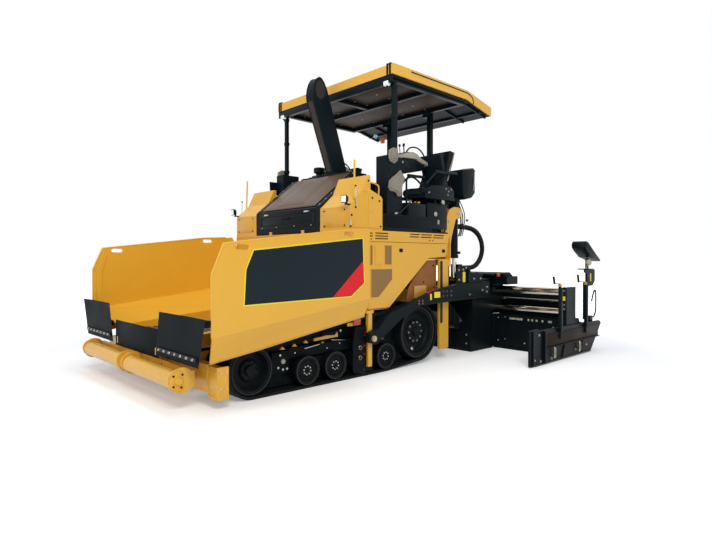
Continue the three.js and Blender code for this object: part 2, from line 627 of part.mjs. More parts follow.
function platform() {
  const front = enclosureRear - SEAT_GAP;
  const cowl = [cowlRear - SEAT_GAP, COWL_HALF + SEAT_GAP];
  const half = [
    [HOOD_REAR - CLEAR, cowl[1]], [HOOD_REAR - CLEAR, enclosureInner], [front, enclosureInner],
    [front, platformHalf], [BODY_REAR, platformHalf], [BODY_REAR, walkHalf],
    [PLATFORM_REAR, walkHalf], [PLATFORM_REAR, 0], [cowl[0], 0], [cowl[0], cowl[1]],
  ];
  const floor = floorPlate(half, DECK_TOP + SEAT_GAP, deckFloor);
  const kick = block(-1290, front, platformHalf - 20, platformHalf, deckFloor - 5, deckFloor + 193);
  const rearRail = block(
    PLATFORM_REAR, PLATFORM_REAR + 25, -walkHalf, walkHalf, deckFloor - 5, deckFloor + 248);
  const locker = block(-2250, -1980, 520, 850, deckFloor - 5, deckFloor + 918);
  const port = rod([PLATFORM_REAR + 5, hosePort.y, hosePort.z], [hosePort.x, hosePort.y, hosePort.z], 48, 16);
  return join(bothSides(floor), bothSides(kick), rearRail, bothSides(locker), port);
}
add('platform', platform(), BLACK);

function console() {
  const stand = block(-1060, -980, 700, 780, deckFloor + SEAT_GAP, deckFloor + 858);
  const desk = sidePlate([
    [-1200, deckFloor + 778], [-900, deckFloor + 838], [-900, deckFloor + 998],
    [-1060, deckFloor + 938], [-1200, deckFloor + 848],
  ], 560, 920);
  return join(stand, desk);
}
addPair('console', console(), DARK_GREY);

const seatY = 960;
const seatUnder = deckFloor + 488;
function seatBase() {
  return join(
    block(-1640, -1300, seatY - 170, seatY + 170, deckFloor + SEAT_GAP, deckFloor + 78),
    block(-1600, -1340, seatY - 120, seatY + 120, deckFloor + 68, seatUnder - 20),
    block(-1690, -1230, seatY - 220, seatY + 220, seatUnder - 30, seatUnder));
}
addPair('seat_base', seatBase(), BLACK);
const seatPad = join(
  block(-1690, -1200, seatY - 240, seatY + 240, seatUnder + SEAT_GAP, seatUnder + 110),
  sidePlate([
    [-1560, seatUnder + 90], [-1690, seatUnder + 90], [-1830, seatUnder + 680], [-1740, seatUnder + 700],
  ], seatY - 230, seatY + 230));
addPair('seat', seatPad, VINYL);

// ---------------------------------------------------------------- canopy
const canopyUnder = CANOPY_TOP - CANOPY_DEPTH;
add('canopy_roof', sidePlate([
  [CANOPY_FRONT, canopyUnder], [CANOPY_FRONT, CANOPY_TOP - 12], [CANOPY_FRONT - 20, CANOPY_TOP],
  [CANOPY_BEVEL, CANOPY_TOP], [CANOPY_REAR, CANOPY_TOP - CANOPY_DROP],
  [CANOPY_REAR, canopyUnder - CANOPY_DROP], [CANOPY_BEVEL, canopyUnder],
], -CANOPY_HALF, CANOPY_HALF), YELLOW);

function canopyFrame() {
  const top = canopyUnder - SEAT_GAP;
  const rails = block(CANOPY_BEVEL, CANOPY_FRONT - 30, 1130, 1190, top - 70, top);
  const crossBars = [CANOPY_FRONT - 90, -1330, CANOPY_BEVEL].map(
    (x) => block(x, x + 60, -1140, 1140, top - 70, top));
  const column = block(-740, -440, 1010, 1190, deckFloor + SEAT_GAP, deckFloor + 938);
  const frontPost = block(-640, -590, 1135, 1185, deckFloor + 928, top - 60);
  const rearPost = block(-2290, -2220, 400, 470, deckFloor + SEAT_GAP, top - 60);
  const rearArm = block(-2290, CANOPY_BEVEL + 10, 402, 468, top - 110, top - 40);
  return join([rails, column, frontPost, rearPost, rearArm].flatMap(bothSides), crossBars);
}
add('canopy_frame', canopyFrame(), BLACK);

// ---------------------------------------------------------------- rear masts and augers
function rearMast() {
  const back = BODY_REAR - SEAT_GAP;
  const railTop = fenderTop[1] + 5;
  const neck = (y0, y1) => sidePlate([
    [back, 1400], [back, 1680], [-1700, 1980], [-1760, 2090], [-1860, 2130], [LIFT_X - 20, 2125],
    [LIFT_X - 60, LIFT_TOP], [LIFT_X - 20, 2005], [-1900, 1960], [-1800, 1700], [-1740, 1400],
  ], y0, y1);
  const cheeks = [neck(LIFT_Y - 95, LIFT_Y - 75), neck(LIFT_Y + 75, LIFT_Y + 95)];
  const web = block(back - 20, back, LIFT_Y - 90, BODY_HALF, railTop - 85, 1680);
  const rail = block(BODY_REAR + 40, BODY_REAR + 232, deckHalf + SEAT_GAP, BODY_HALF, 145, railTop);
  const knee = block(back - 20, BODY_REAR + 60, deckHalf + SEAT_GAP, BODY_HALF, railTop - 85, railTop - 5);
  const augerBearing = sidePlate([
    [AUGER_X - 40, AUGER_Z - 50], [AUGER_X + 50, AUGER_Z - 50], [-1740, 600], [back, 620], [back, 1400],
    [-1740, 1400], [-1760, 760], [AUGER_X - 40, 560],
  ], AUGER_END + SEAT_GAP, AUGER_END + 20);
  return join(cheeks, web, rail, knee, augerBearing);
}
addPair('rear_mast', rearMast(), YELLOW);

// A ribbon wound round the shaft; each step adds one four-cornered section.
function helix(y0, y1, pitch, inner, outer, thickness) {
  const steps = Math.round((y1 - y0) / pitch * 12);
  const at = [];
  const faces = [];
  for (let i = 0; i <= steps; i += 1) {
    const y = y0 + (y1 - y0) * i / steps;
    const turn = 2 * Math.PI * (y - y0) / pitch;
    for (const [r, dy] of [[inner, 0], [outer, 0], [outer, thickness], [inner, thickness]]) {
      at.push(AUGER_X + r * Math.cos(turn), y + dy, AUGER_Z + r * Math.sin(turn));
    }
    for (let k = 0; i > 0 && k < 4; k += 1) {
      const [a, b] = [4 * (i - 1) + k, 4 * (i - 1) + (k + 1) % 4];
      faces.push([a, b, b + 4], [a, b + 4, a + 4]);
    }
  }
  const last = 4 * steps;
  faces.push([0, 2, 1], [0, 3, 2], [last, last + 1, last + 2], [last, last + 2, last + 3]);
  const geometry = new THREE.BufferGeometry();
  geometry.setAttribute('position', new THREE.Float32BufferAttribute(at, 3));
  geometry.setIndex(faces.flat());
  return geometry;
}

function auger() {
  const shaft = drum(AUGER_X, AUGER_Z, 45, GEARBOX_HALF + SEAT_GAP, AUGER_END, 16);
  return join(shaft, helix(GEARBOX_HALF + 12, AUGER_END - 40, AUGER_PITCH, 38, AUGER_RADIUS, 16));
}
addPair('auger', auger(), STEEL);

// ---------------------------------------------------------------- tow arms and screed
function towArm() {
  const y0 = ARM_INNER;
  const y1 = ARM_INNER + ARM_THICKNESS;
  const bar = sidePlate([
    [TOW_X + 75, TOW_Z - 40], [TOW_X + 60, TOW_Z + 70], [-90, 560], [-260, 690], [-430, 755], [-1140, 965],
    [-1760, 1045], [-2500, 1045], [-2500, 820], [-1750, 812], [-900, 790], [-520, 650], [-260, 500],
    [-60, 375],
  ], y0, y1);
  const lug = join(
    block(LIFT_X - 60, LIFT_X + 60, LIFT_Y - 60, y0 + 10, 960, 1015),
    [[-60, -42], [42, 60]].map(
      ([a, b]) => block(LIFT_X - 45, LIFT_X + 45, LIFT_Y + a, LIFT_Y + b, 1000, 1130)));
  const spacer = block(-2480, -2330, SCREED_HALF + SEAT_GAP, y0 + 10, 840, 930);
  return cut(join(bar, lug, spacer), drum(TOW_X, TOW_Z, 37.5, y0 - 50, y1 + 50, 20));
}
addPair('tow_arm', towArm(), BLACK);

function liftBarrel() {
  const tube = rod([LIFT_X, LIFT_Y, LIFT_BARREL_END], [LIFT_X, LIFT_Y, LIFT_TOP - 40], 58, 20);
  const eye = drum(LIFT_X, LIFT_TOP, 50, LIFT_Y - 75 + SEAT_GAP, LIFT_Y + 75 - SEAT_GAP, 20);
  const bore = rod([LIFT_X, LIFT_Y, LIFT_BARREL_END - 5], [LIFT_X, LIFT_Y, LIFT_TOP - 90], 26, 16);
  return cut(join(tube, eye), bore);
}
addPair('lift_barrel', liftBarrel(), BLACK);

const liftRod = join(
  rod([LIFT_X, LIFT_Y, LIFT_EYE_Z], [LIFT_X, LIFT_Y, LIFT_TOP - 360], 25.5, 16),
  drum(LIFT_X, LIFT_EYE_Z, 38, LIFT_Y - 42 + SEAT_GAP, LIFT_Y + 42 - SEAT_GAP, 16));
addPair('lift_rod', liftRod, CHROME);

const screedRear = SCREED_FRONT - SCREED_DEPTH;
const tubeX = { left: screedRear - 75, right: screedRear - 212 };
const housingRear = screedRear - 290;

function slideTubes(x, y0, y1, grow) {
  return [
    drum(x, TUBE_UPPER_Z, TUBE_UPPER_RADIUS + grow, y0, y1, 24),
    drum(x, TUBE_LOWER_Z, TUBE_LOWER_RADIUS + grow, y0, y1, 20),
  ];
}

function screedMain() {
  const body = sidePlate([
    [SCREED_FRONT, 0], [SCREED_FRONT + 15, 40], [SCREED_FRONT + 15, 300], [SCREED_FRONT - 30, 330],
    [SCREED_FRONT - 30, SCREED_TOP - 20], [SCREED_FRONT - 90, SCREED_TOP + 40],
    [screedRear + 150, SCREED_TOP + 40], [screedRear + 10, SCREED_TOP - 60], [screedRear + 10, 0],
  ], -SCREED_HALF, SCREED_HALF);
  const housing = block(housingRear, screedRear + 20, -SCREED_HALF, SCREED_HALF, 565, HOUSING_TOP);
  const lids = bothSides(
    block(housingRear + 30, screedRear + 60, 620, 1500, HOUSING_TOP - 5, HOUSING_TOP + 120));
  const valves = block(
    valveBlock.x, valveBlock.x + 110, valveBlock.y - 70, valveBlock.y + 70, SCREED_TOP, valveBlock.z + 60);
  return cut(
    join(body, housing, lids, valves),
    slideTubes(tubeX.left, -2000, 2000, PIN_GAP), slideTubes(tubeX.right, -2000, 2000, PIN_GAP));
}
add('screed_main', screedMain(), BLACK);

// The extender is drawn for the left; `along` is the line of its slide tubes.
function extender(along) {
  const front = screedRear - 20;
  const rear = front - EXTENDER_DEPTH;
  const inner = EXTENDER_OUT - EXTENDER_LENGTH;
  const body = sidePlate([
    [front, 0], [front, EXTENDER_HEIGHT - 20], [front - 40, EXTENDER_HEIGHT], [rear + 120, EXTENDER_HEIGHT],
    [rear, 300], [rear, 0],
  ], inner, EXTENDER_OUT - 20);
  const carriage = sidePlate([
    [front, 0], [front, HOUSING_TOP - 15], [housingRear - 20, HOUSING_TOP - 15],
    [housingRear - 20, EXTENDER_HEIGHT], [rear, 420], [rear, 0],
  ], EXTENDER_OUT - 60, EXTENDER_OUT);
  const tread = block(rear - 360, rear - 150, inner + 40, EXTENDER_OUT, 380, 410);
  const treadArms = [inner + 100, EXTENDER_OUT - 90].map(
    (y) => block(rear - 340, rear + 20, y, y + 30, 340, 395));
  return join(body, carriage, tread, treadArms, slideTubes(along, 400, EXTENDER_OUT - 30, 0));
}
add('extender_left', extender(tubeX.left), BLACK);
add('extender_right', mirrored(extender(tubeX.right)), BLACK);

const gateInner = EXTENDER_OUT + SEAT_GAP;
const crankY = gateInner + GATE_THICKNESS + 14;
const endGate = join(
  sidePlate([
    [-1830, 2], [-1790, 10], [-1780, 470], [-1990, 480], [-2060, 460], [GATE_REAR + 60, 440],
    [GATE_REAR, 400], [-3620, 2],
  ], gateInner, gateInner + GATE_THICKNESS),
  [-2580, -3400].map((x) => rod([x, crankY, 300], [x, crankY, 1010], 20, 12)));
addPair('end_gate', endGate, BLACK);

const consolePost = [screedRear - 20 - EXTENDER_DEPTH - 250, EXTENDER_OUT - 60];
const screedConsole = join(
  rod([...consolePost, 410 + SEAT_GAP], [...consolePost, 1400], 24, 12),
  sidePlate([
    [consolePost[0] - 60, 1350], [consolePost[0] + 120, 1420], [consolePost[0] + 90, 1530],
    [consolePost[0] - 130, 1440],
  ], EXTENDER_OUT - 210, EXTENDER_OUT + 30));
addPair('screed_console', screedConsole, BLACK);

// ---------------------------------------------------------------- umbilical hose
// Leaves the deck's rear rail, loops back and comes forward into the screed's valve block.
const HOSE_RADIUS = 40;
const hoseFall = (hosePort.z - valveBlock.z) / 655;
const hoseRoute = [
  [hosePort.x - SEAT_GAP, 655], [-2470, 655], [-2530, 655], [-2600, 655], [-2680, 653],
  [-2760, 647], [-2850, 637], [-2930, 617], [-3010, 583], [-3080, 534], [-3134, 473], [-3170, 403],
  [-3186, 327], [-3176, 249], [-3144, 175], [-3094, 111], [-3030, 60], [-2960, 25], [-2880, 6],
  [-2800, 1], [-2720, 0], [-2640, 0], [-2580, 0], [valveBlock.x - SEAT_GAP, 0],
].map(([x, up]) => new THREE.Vector3(x, hosePort.y, valveBlock.z + up * hoseFall));
const hoseSection = new THREE.Shape().absarc(0, 0, HOSE_RADIUS, 0, 2 * Math.PI);
add('umbilical_hose', new THREE.ExtrudeGeometry(hoseSection, {
  steps: 60, curveSegments: 5, extrudePath: new THREE.CatmullRomCurve3(hoseRoute),
}), RUBBER);

// ---------------------------------------------------------------- output frame
const frontX = ROLLER_X + PLATE_RADIUS;
paver.position.x = -(frontX + GATE_REAR) / 2;

export default paver;
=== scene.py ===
# %% [markdown]
# Asphalt paver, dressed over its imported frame.
# The machine lays hot mix: trucks tip into the hopper in front, conveyors carry it under the
# engine, augers spread it, and the towed screed irons it flat. The moving solids come from the
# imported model. Here each one gets its finish, and the fittings that make it read as a machine.
# %% Load the frame
import math

import bmesh
import bpy
from mathutils import Matrix, Vector


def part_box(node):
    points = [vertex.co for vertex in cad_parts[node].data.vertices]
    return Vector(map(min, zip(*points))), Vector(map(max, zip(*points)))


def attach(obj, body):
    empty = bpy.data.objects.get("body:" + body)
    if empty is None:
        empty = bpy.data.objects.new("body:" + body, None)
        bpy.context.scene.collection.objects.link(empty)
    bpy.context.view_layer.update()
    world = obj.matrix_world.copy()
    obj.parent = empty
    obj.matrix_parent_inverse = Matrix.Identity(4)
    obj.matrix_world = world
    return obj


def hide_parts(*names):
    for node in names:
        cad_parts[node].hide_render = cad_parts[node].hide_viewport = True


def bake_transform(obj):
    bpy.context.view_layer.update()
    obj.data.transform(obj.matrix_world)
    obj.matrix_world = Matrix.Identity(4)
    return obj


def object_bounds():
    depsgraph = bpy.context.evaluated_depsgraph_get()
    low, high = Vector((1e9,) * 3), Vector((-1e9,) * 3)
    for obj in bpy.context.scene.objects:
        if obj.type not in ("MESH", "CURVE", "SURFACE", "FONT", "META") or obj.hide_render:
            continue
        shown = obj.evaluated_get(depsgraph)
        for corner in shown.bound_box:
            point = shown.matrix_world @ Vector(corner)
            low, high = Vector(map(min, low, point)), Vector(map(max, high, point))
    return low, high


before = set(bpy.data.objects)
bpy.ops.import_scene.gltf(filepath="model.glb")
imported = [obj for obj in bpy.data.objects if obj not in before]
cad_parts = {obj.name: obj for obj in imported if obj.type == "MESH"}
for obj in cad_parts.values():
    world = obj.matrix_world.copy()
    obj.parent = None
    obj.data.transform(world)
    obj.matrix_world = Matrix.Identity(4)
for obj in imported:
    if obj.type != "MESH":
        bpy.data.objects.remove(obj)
CAD_BOX = [list(corner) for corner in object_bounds()]
ORIGIN_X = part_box("track_left")[0].x + 1.358
print("frame loaded,", len(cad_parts), "solids, machine origin at x =", round(ORIGIN_X, 3))

# %% [markdown]
# The camera stands at the machine's front left corner at chest height and looks almost level.
# A camera's place, heading and focal length decide how the long side foreshortens, so they come
# before any piece. A mild wide angle is used because the whole machine has to fit from close by.
# %% Camera
CAMERA_PLACE = (5.201, 5.745, 1.403)
CAMERA_HEADING = -133.479
CAMERA_TILT = -0.738
lens = bpy.data.cameras.new("viewpoint")
lens.sensor_width = 36
lens.lens = 26.65
lens.shift_y = -0.0031
lens.clip_end = 200
viewpoint = bpy.data.objects.new("viewpoint", lens)
bpy.context.scene.collection.objects.link(viewpoint)
viewpoint.location = CAMERA_PLACE
viewpoint.rotation_euler = (math.radians(90 + CAMERA_TILT), 0, math.radians(CAMERA_HEADING - 90))
bpy.context.scene.camera = viewpoint
bpy.context.scene.view_settings.view_transform = "Standard"
print("camera at", CAMERA_PLACE, "with a", lens.lens, "mm lens")

# %% [markdown]
# Colours are written as sRGB hex, as a paint card gives them, and shaders want linear values.
# One function does that sum. Another adds a shader node with its settings and links, so every
# finish below reads as a short list of nodes. Patterns use Object coordinates: they are metres
# on the machine, so a scale can be worked out from a real size.
# %% Colour and node helpers
def paint(code):
    parts = [int(code[i:i + 2], 16) / 255 for i in (0, 2, 4)]
    linear = [p / 12.92 if p <= 0.04045 else ((p + 0.055) / 1.055) ** 2.4 for p in parts]
    return (*linear, 1)


def put(material, kind, links=None, values=None, **settings):
    """Adds one node: its wired sockets, its sockets with fixed values, and its settings."""
    tree = material.node_tree
    made = tree.nodes.new("ShaderNode" + kind)
    for name, value in settings.items():
        setattr(made, name, value)
    for socket, value in (values or {}).items():
        made.inputs[socket].default_value = value
    for socket, source in (links or {}).items():
        tree.links.new(source, made.inputs[socket])
    return made


def blank(name):
    """A material that holds only a Principled shader, and that shader."""
    material = bpy.data.materials.new(name)
    material.use_nodes = True
    return material, material.node_tree.nodes["Principled BSDF"]


def wire(material, source, socket):
    material.node_tree.links.new(source, socket)


def per_metre(millimetres):
    """The texture scale whose features are about this many millimetres across."""
    return 1000 / millimetres


print("helpers ready, a 2 mm grain has scale", per_metre(2))

# %% [markdown]
# Most finishes here are the same thing at heart: a base colour that drifts a little over the
# surface, a gloss that is patchy where hands and dust have been, and a fine relief such as
# orange peel or grain. One function builds that stack. The colour drift is a slow noise, the
# dust is a second noise that gathers low on the machine, where tracks and mix throw it up.
# %% The finish every piece starts from
MIX_FROM, MIX_TO, MIX_RESULT = 6, 7, 2      # a Mix node's colour sockets


def finish(name, colour, drift, roughness, grain_mm, relief_mm, metallic=0.0, coat=0.0,
           dust="8A7F6C", dust_amount=0.0, patch_mm=350, patchy=0.1, glint=0.5):
    material, shader = blank(name)
    where = put(material, "TexCoord").outputs["Object"]
    slow = put(material, "TexNoise", {"Vector": where}, {"Scale": per_metre(patch_mm),
        "Detail": 4}).outputs["Fac"]
    shade = put(material, "Mix", {0: slow}, {MIX_FROM: paint(colour), MIX_TO: paint(drift)},
        data_type="RGBA").outputs[MIX_RESULT]
    if dust_amount:
        height = put(material, "SeparateXYZ", {"Vector": where}).outputs["Z"]
        low = put(material, "MapRange", {"Value": height}, {"From Min": 1.1, "From Max": 0.0,
            "To Max": dust_amount}).outputs["Result"]
        specks = put(material, "TexNoise", {"Vector": where}, {"Scale": per_metre(60), "Detail": 6,
            "Roughness": 0.7}).outputs["Fac"]
        settled = put(material, "MapRange", {"Value": specks},
            {"From Min": 0.42, "From Max": 0.75}).outputs["Result"]
        share = put(material, "Math", {0: low, 1: settled}, operation="MULTIPLY").outputs[0]
        shade = put(material, "Mix", {0: share, MIX_FROM: shade}, {MIX_TO: paint(dust)},
            data_type="RGBA").outputs[MIX_RESULT]
    wire(material, shade, shader.inputs["Base Color"])
    gloss = put(material, "MapRange", {"Value": slow}, {"To Min": max(roughness - patchy, 0.03),
        "To Max": min(roughness + patchy, 1)})
    wire(material, gloss.outputs["Result"], shader.inputs["Roughness"])
    grain = put(material, "TexNoise", {"Vector": where}, {"Scale": per_metre(grain_mm),
        "Detail": 2}).outputs["Fac"]
    relief = put(material, "Bump", {"Height": grain}, {"Strength": 0.6,
        "Distance": relief_mm / 1000})
    wire(material, relief.outputs["Normal"], shader.inputs["Normal"])
    shader.inputs["Metallic"].default_value = metallic
    shader.inputs["Specular IOR Level"].default_value = glint
    shader.inputs["Coat Weight"].default_value = coat
    shader.inputs["Coat Roughness"].default_value = 0.12
    return material


print("finish() wires a drift, a gloss and a grain")

# %% [markdown]
# Sheet-metal yellow is a two-part enamel sprayed on primed steel: a smooth gloss with orange
# peel some 3 mm across. The canopy is a moulded shell in yellow gelcoat, a little brighter and
# flatter. Chassis parts are satin black powder coat with a fine pebble; the blue tint in the
# base colour of these blacks is a painted reflection of the sky.
# %% Paints
YELLOW_ENAMEL = finish("yellow_enamel_sprayed", "E9B135", "E2A82B", 0.36, 3, 0.05, coat=0.2,
    dust_amount=0.3, dust="B08F3C", glint=0.4)
SILL_ENAMEL = finish("yellow_enamel_low_sill", "D29F38", "C4923A", 0.42, 3, 0.05, coat=0.15,
    dust_amount=0.8, dust="8F7C4E")
CANOPY_GELCOAT = finish("yellow_gelcoat_moulded", "F3B934", "EDB02C", 0.3, 6, 0.04, coat=0.3,
    patch_mm=600)
BLACK_POWDER = finish("black_powder_coat_satin", "0A161B", "101B20", 0.38, 1.5, 0.08,
    dust_amount=0.18, dust="4A443A", glint=0.08)
FRAME_BLACK = finish("black_enamel_underframe", "070E12", "0D1417", 0.45, 3, 0.1, dust_amount=0.1,
    dust="4A4A44", glint=0.06)
SCREED_BLACK = finish("brown_black_heat_paint", "08131A", "0F1619", 0.36, 3, 0.1, dust_amount=0.12,
    dust="4C4132", glint=0.07)
print("paints:", YELLOW_ENAMEL.name, CANOPY_GELCOAT.name, BLACK_POWDER.name)

# %% [markdown]
# Plastics and linings. The hood's top cover is a moulded brown-grey shell, satin, with a broad
# drift in colour and gloss whose lighter patches are painted reflection, for the soft streaks
# of light on it. Consoles are light textured ABS. The canopy's lining is dark brown
# pressed board, and the seats are black embossed vinyl with a pebble of about 3 mm.
# %% Plastics, lining and vinyl
HOOD_MOULDING = finish("hood_moulding_brown_grey", "54402F", "66503D", 0.34, 2, 0.05, patch_mm=500,
    patchy=0.12, glint=0.25)
CONSOLE_ABS = finish("console_abs_textured", "B9B2A3", "A9A294", 0.5, 1.2, 0.12, patch_mm=200)
COLUMN_ABS = finish("column_abs_grey", "8E887B", "7D786C", 0.5, 1.5, 0.1, patch_mm=150)
LINING_BOARD = finish("canopy_lining_pressed_board", "3A2A1C", "4A3522", 0.55, 4, 0.15,
    patch_mm=300, glint=0.15)
# The blue tint in the vinyl's and the black plastic's base colour is a painted reflection of the
# sky.
SEAT_VINYL = finish("seat_vinyl_embossed", "0E191F", "152027", 0.5, 3, 0.35, patch_mm=120,
    patchy=0.08, glint=0.14)
BLACK_PLASTIC = finish("black_plastic_moulded", "0B1418", "111A1F", 0.38, 1.2, 0.08, patch_mm=120,
    glint=0.1)
print("plastics:", HOOD_MOULDING.name, CONSOLE_ABS.name, LINING_BOARD.name)

# %% [markdown]
# Rubbers are dull and a little grey with dust. The track belt and wheel tyres are hard moulded
# rubber, the flashings are reinforced sheet, and the hose sleeve is ribbed plastic.
# Metals: chromed slide tubes are nearly mirrors, and augers, conveyors and tamper parts are
# steel polished and stained by mix. A metal keeps the default IOR, its colour does the work.
# %% Rubbers and metals
# The slight blue tint in the black rubbers' base colour is a painted reflection of the sky.
TRACK_RUBBER = finish("track_rubber_moulded", "0C1214", "14191B", 0.6, 4, 0.5, dust_amount=0.08,
    dust="5A5A54", glint=0.1)
WHEEL_RUBBER = finish("tyre_rubber_pressed_on", "091013", "10171A", 0.5, 3, 0.3, dust_amount=0.08,
    dust="5A5A54", glint=0.1)
SHEET_RUBBER = finish("sheet_rubber_reinforced", "0B1215", "151C1F", 0.55, 5, 0.4, patch_mm=250,
    glint=0.04)
SLEEVE_PLASTIC = finish("hose_sleeve_polyamide", "131416", "1C1D1E", 0.45, 2, 0.1, patch_mm=100,
    glint=0.15)
CABLE_PVC = finish("cable_pvc_black", "0E0F10", "16171A", 0.35, 2, 0.05, patch_mm=60, glint=0.2)
CHROME = finish("chromed_steel_ground", "D9D4CC", "C9C2B6", 0.12, 1, 0.01, metallic=1, patchy=0.05)
WORN_STEEL = finish("steel_worn_by_mix", "6E675C", "3A352E", 0.42, 4, 0.3, metallic=0.9,
    patch_mm=90, patchy=0.15)
ZINC = finish("zinc_plated_steel", "C9C7C0", "A9A69C", 0.32, 1, 0.03, metallic=1, patch_mm=20)
BRONZE_ZINC = finish("yellow_passivated_zinc", "8A7550", "63543A", 0.38, 1, 0.03, metallic=1,
    patch_mm=20)
RING_STEEL = finish("rim_ring_dull_steel", "57534B", "3C3A35", 0.5, 1, 0.03, patch_mm=20,
    glint=0.3)
print("metals:", CHROME.name, WORN_STEEL.name, ZINC.name)

# %% [markdown]
# Small coloured parts: markers, knobs and switch caps in dyed plastic, reflective tape in red,
# and printed vinyl film on the hopper's side in black with a thin bright yellow line.
# Lamp glass is clear with a faint pressed pattern. It glows a little, a painted highlight, so
# that it reads as a lens against its black shell.
# %% Films, markers and lamp glass
# The black film's blue tint is a painted reflection of the sky.
DECAL_BLACK = finish("vinyl_film_black", "131F25", "16242B", 0.3, 8, 0.01, patch_mm=800,
    patchy=0.04, glint=0.12)
DECAL_LINE = finish("vinyl_film_bright_yellow", "F4E21C", "EFD91A", 0.35, 8, 0.01)
DECAL_RED = finish("vinyl_film_red", "E2222B", "D61F28", 0.35, 8, 0.01, glint=0.2)
MARKER_YELLOW = finish("marker_rod_yellow", "F2C21A", "E8B414", 0.4, 3, 0.03)
KNOB_ORANGE = finish("knob_orange_plastic", "E5761A", "D96C16", 0.35, 2, 0.03)
MARKER_RED = finish("reflector_red_plastic", "C8241E", "B41E1A", 0.2, 4, 0.1, coat=0.5)
LATCH_TAN = finish("latch_tan_plastic", "B98A4E", "A67B44", 0.4, 2, 0.05)


def lens_glass(name, colour, highlight_glow):
    material, shader = blank(name)
    where = put(material, "TexCoord").outputs["Object"]
    ribs = put(material, "TexWave", {"Vector": where}, {"Scale": per_metre(40)}).outputs["Fac"]
    relief = put(material, "Bump", {"Height": ribs}, {"Strength": 0.5, "Distance": 0.001})
    wire(material, relief.outputs["Normal"], shader.inputs["Normal"])
    for socket, value in {"Base Color": paint(colour), "Roughness": 0.08, "Coat Weight": 0.8,
                          "Emission Color": paint(colour), "Emission Strength": highlight_glow}.items():
        shader.inputs[socket].default_value = value
    return material


LAMP_CLEAR = lens_glass("lamp_glass_clear", "DCE6EA", 0.35)
LAMP_AMBER = lens_glass("lamp_glass_amber", "E8701A", 0.25)
LAMP_BLUE = lens_glass("lamp_glass_cold", "9FC0D6", 0.3)
print("films and glass ready")

# %% [markdown]
# Perforated guards cover the air openings in the side. The real sheet is punched with holes of
# some 5 mm on an 8 mm grid, too fine to cut here, so a Voronoi pattern darkens round spots and
# sinks them; their dark is painted shade, for the dark inside seen through the holes. The spots
# are drawn 12 mm apart so that they still show from a few metres away.
# %% Perforated guard
def punched(name, colour, hole, spacing_mm):
    material, shader = blank(name)
    where = put(material, "TexCoord").outputs["Object"]
    cells = put(material, "TexVoronoi", {"Vector": where}, {"Scale": per_metre(spacing_mm),
        "Randomness": 0}).outputs["Distance"]
    sheet = put(material, "MapRange", {"Value": cells}, {"From Min": 0.34,
        "From Max": 0.42}).outputs["Result"]
    tone = put(material, "Mix", {0: sheet}, {MIX_FROM: paint(hole), MIX_TO: paint(colour)},
        data_type="RGBA")
    wire(material, tone.outputs[MIX_RESULT], shader.inputs["Base Color"])
    relief = put(material, "Bump", {"Height": sheet}, {"Strength": 0.8, "Distance": 0.003})
    wire(material, relief.outputs["Normal"], shader.inputs["Normal"])
    shader.inputs["Roughness"].default_value = 0.55
    return material


GUARD_MESH = punched("perforated_guard_painted", "8C6A34", "120F0C", 12)
GRILLE_MESH = punched("perforated_grille_black", "2A2A28", "060606", 14)
print("guards:", GUARD_MESH.name)

# %% [markdown]
# Each solid of the frame now gets the finish its real part has. The table goes by the solid's
# name without its side, so left and right are dressed alike.
# %% Dress the solids
DRESS = {
    "main_frame": YELLOW_ENAMEL, "front_frame": YELLOW_ENAMEL, "engine_bay": YELLOW_ENAMEL,
    "engine_block": FRAME_BLACK, "conveyors": YELLOW_ENAMEL,
    "track": TRACK_RUBBER, "undercarriage": FRAME_BLACK, "final_drive": FRAME_BLACK,
    "push_beam": YELLOW_ENAMEL,
    "push_roller": YELLOW_ENAMEL, "wing": YELLOW_ENAMEL, "flashing": SHEET_RUBBER,
    "apron": YELLOW_ENAMEL, "hood": BLACK_POWDER, "engine_cowl": BLACK_POWDER,
    "body_panel": YELLOW_ENAMEL, "exhaust_stack": BLACK_POWDER, "service_door": YELLOW_ENAMEL,
    "platform": BLACK_POWDER, "console": CONSOLE_ABS, "seat_base": BLACK_PLASTIC,
    "seat": SEAT_VINYL, "canopy_roof": CANOPY_GELCOAT, "canopy_frame": BLACK_POWDER,
    "rear_mast": YELLOW_ENAMEL, "auger": WORN_STEEL, "tow_arm": BLACK_POWDER,
    "lift_barrel": BLACK_POWDER, "lift_rod": CHROME, "screed_main": SCREED_BLACK,
    "extender": SCREED_BLACK, "end_gate": SCREED_BLACK, "screed_console": BLACK_PLASTIC,
    "drive_wheel": WHEEL_RUBBER, "idler_wheel": WHEEL_RUBBER, "umbilical_hose": SLEEVE_PLASTIC,
}
for name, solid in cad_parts.items():
    family = name.removesuffix("_left").removesuffix("_right")
    solid.data.materials.clear()
    solid.data.materials.append(DRESS[family])
print("dressed", len(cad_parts), "solids in", len(set(DRESS.values())), "finishes")

# %% [markdown]
# A product picture of a machine stands on pale ground under an even sky. The ground is a large
# matte sheet. To the camera, to gloss and to glass the sky is white, and to everything else it
# is a softer, slightly cool light, so that blacks keep their depth. A broad soft lamp from the
# front left models the side, a weaker one fills the front, and a third hangs above.
# %% Ground and light
def background_rays(material):
    """1 for the rays that should see a white surround: camera, gloss and glass."""
    rays = put(material, "LightPath")
    seen = put(material, "Math", {0: rays.outputs["Is Camera Ray"],
        1: rays.outputs["Is Glossy Ray"]}, operation="MAXIMUM")
    return put(material, "Math", {0: seen.outputs[0], 1: rays.outputs["Is Transmission Ray"]},
        operation="MAXIMUM").outputs[0]


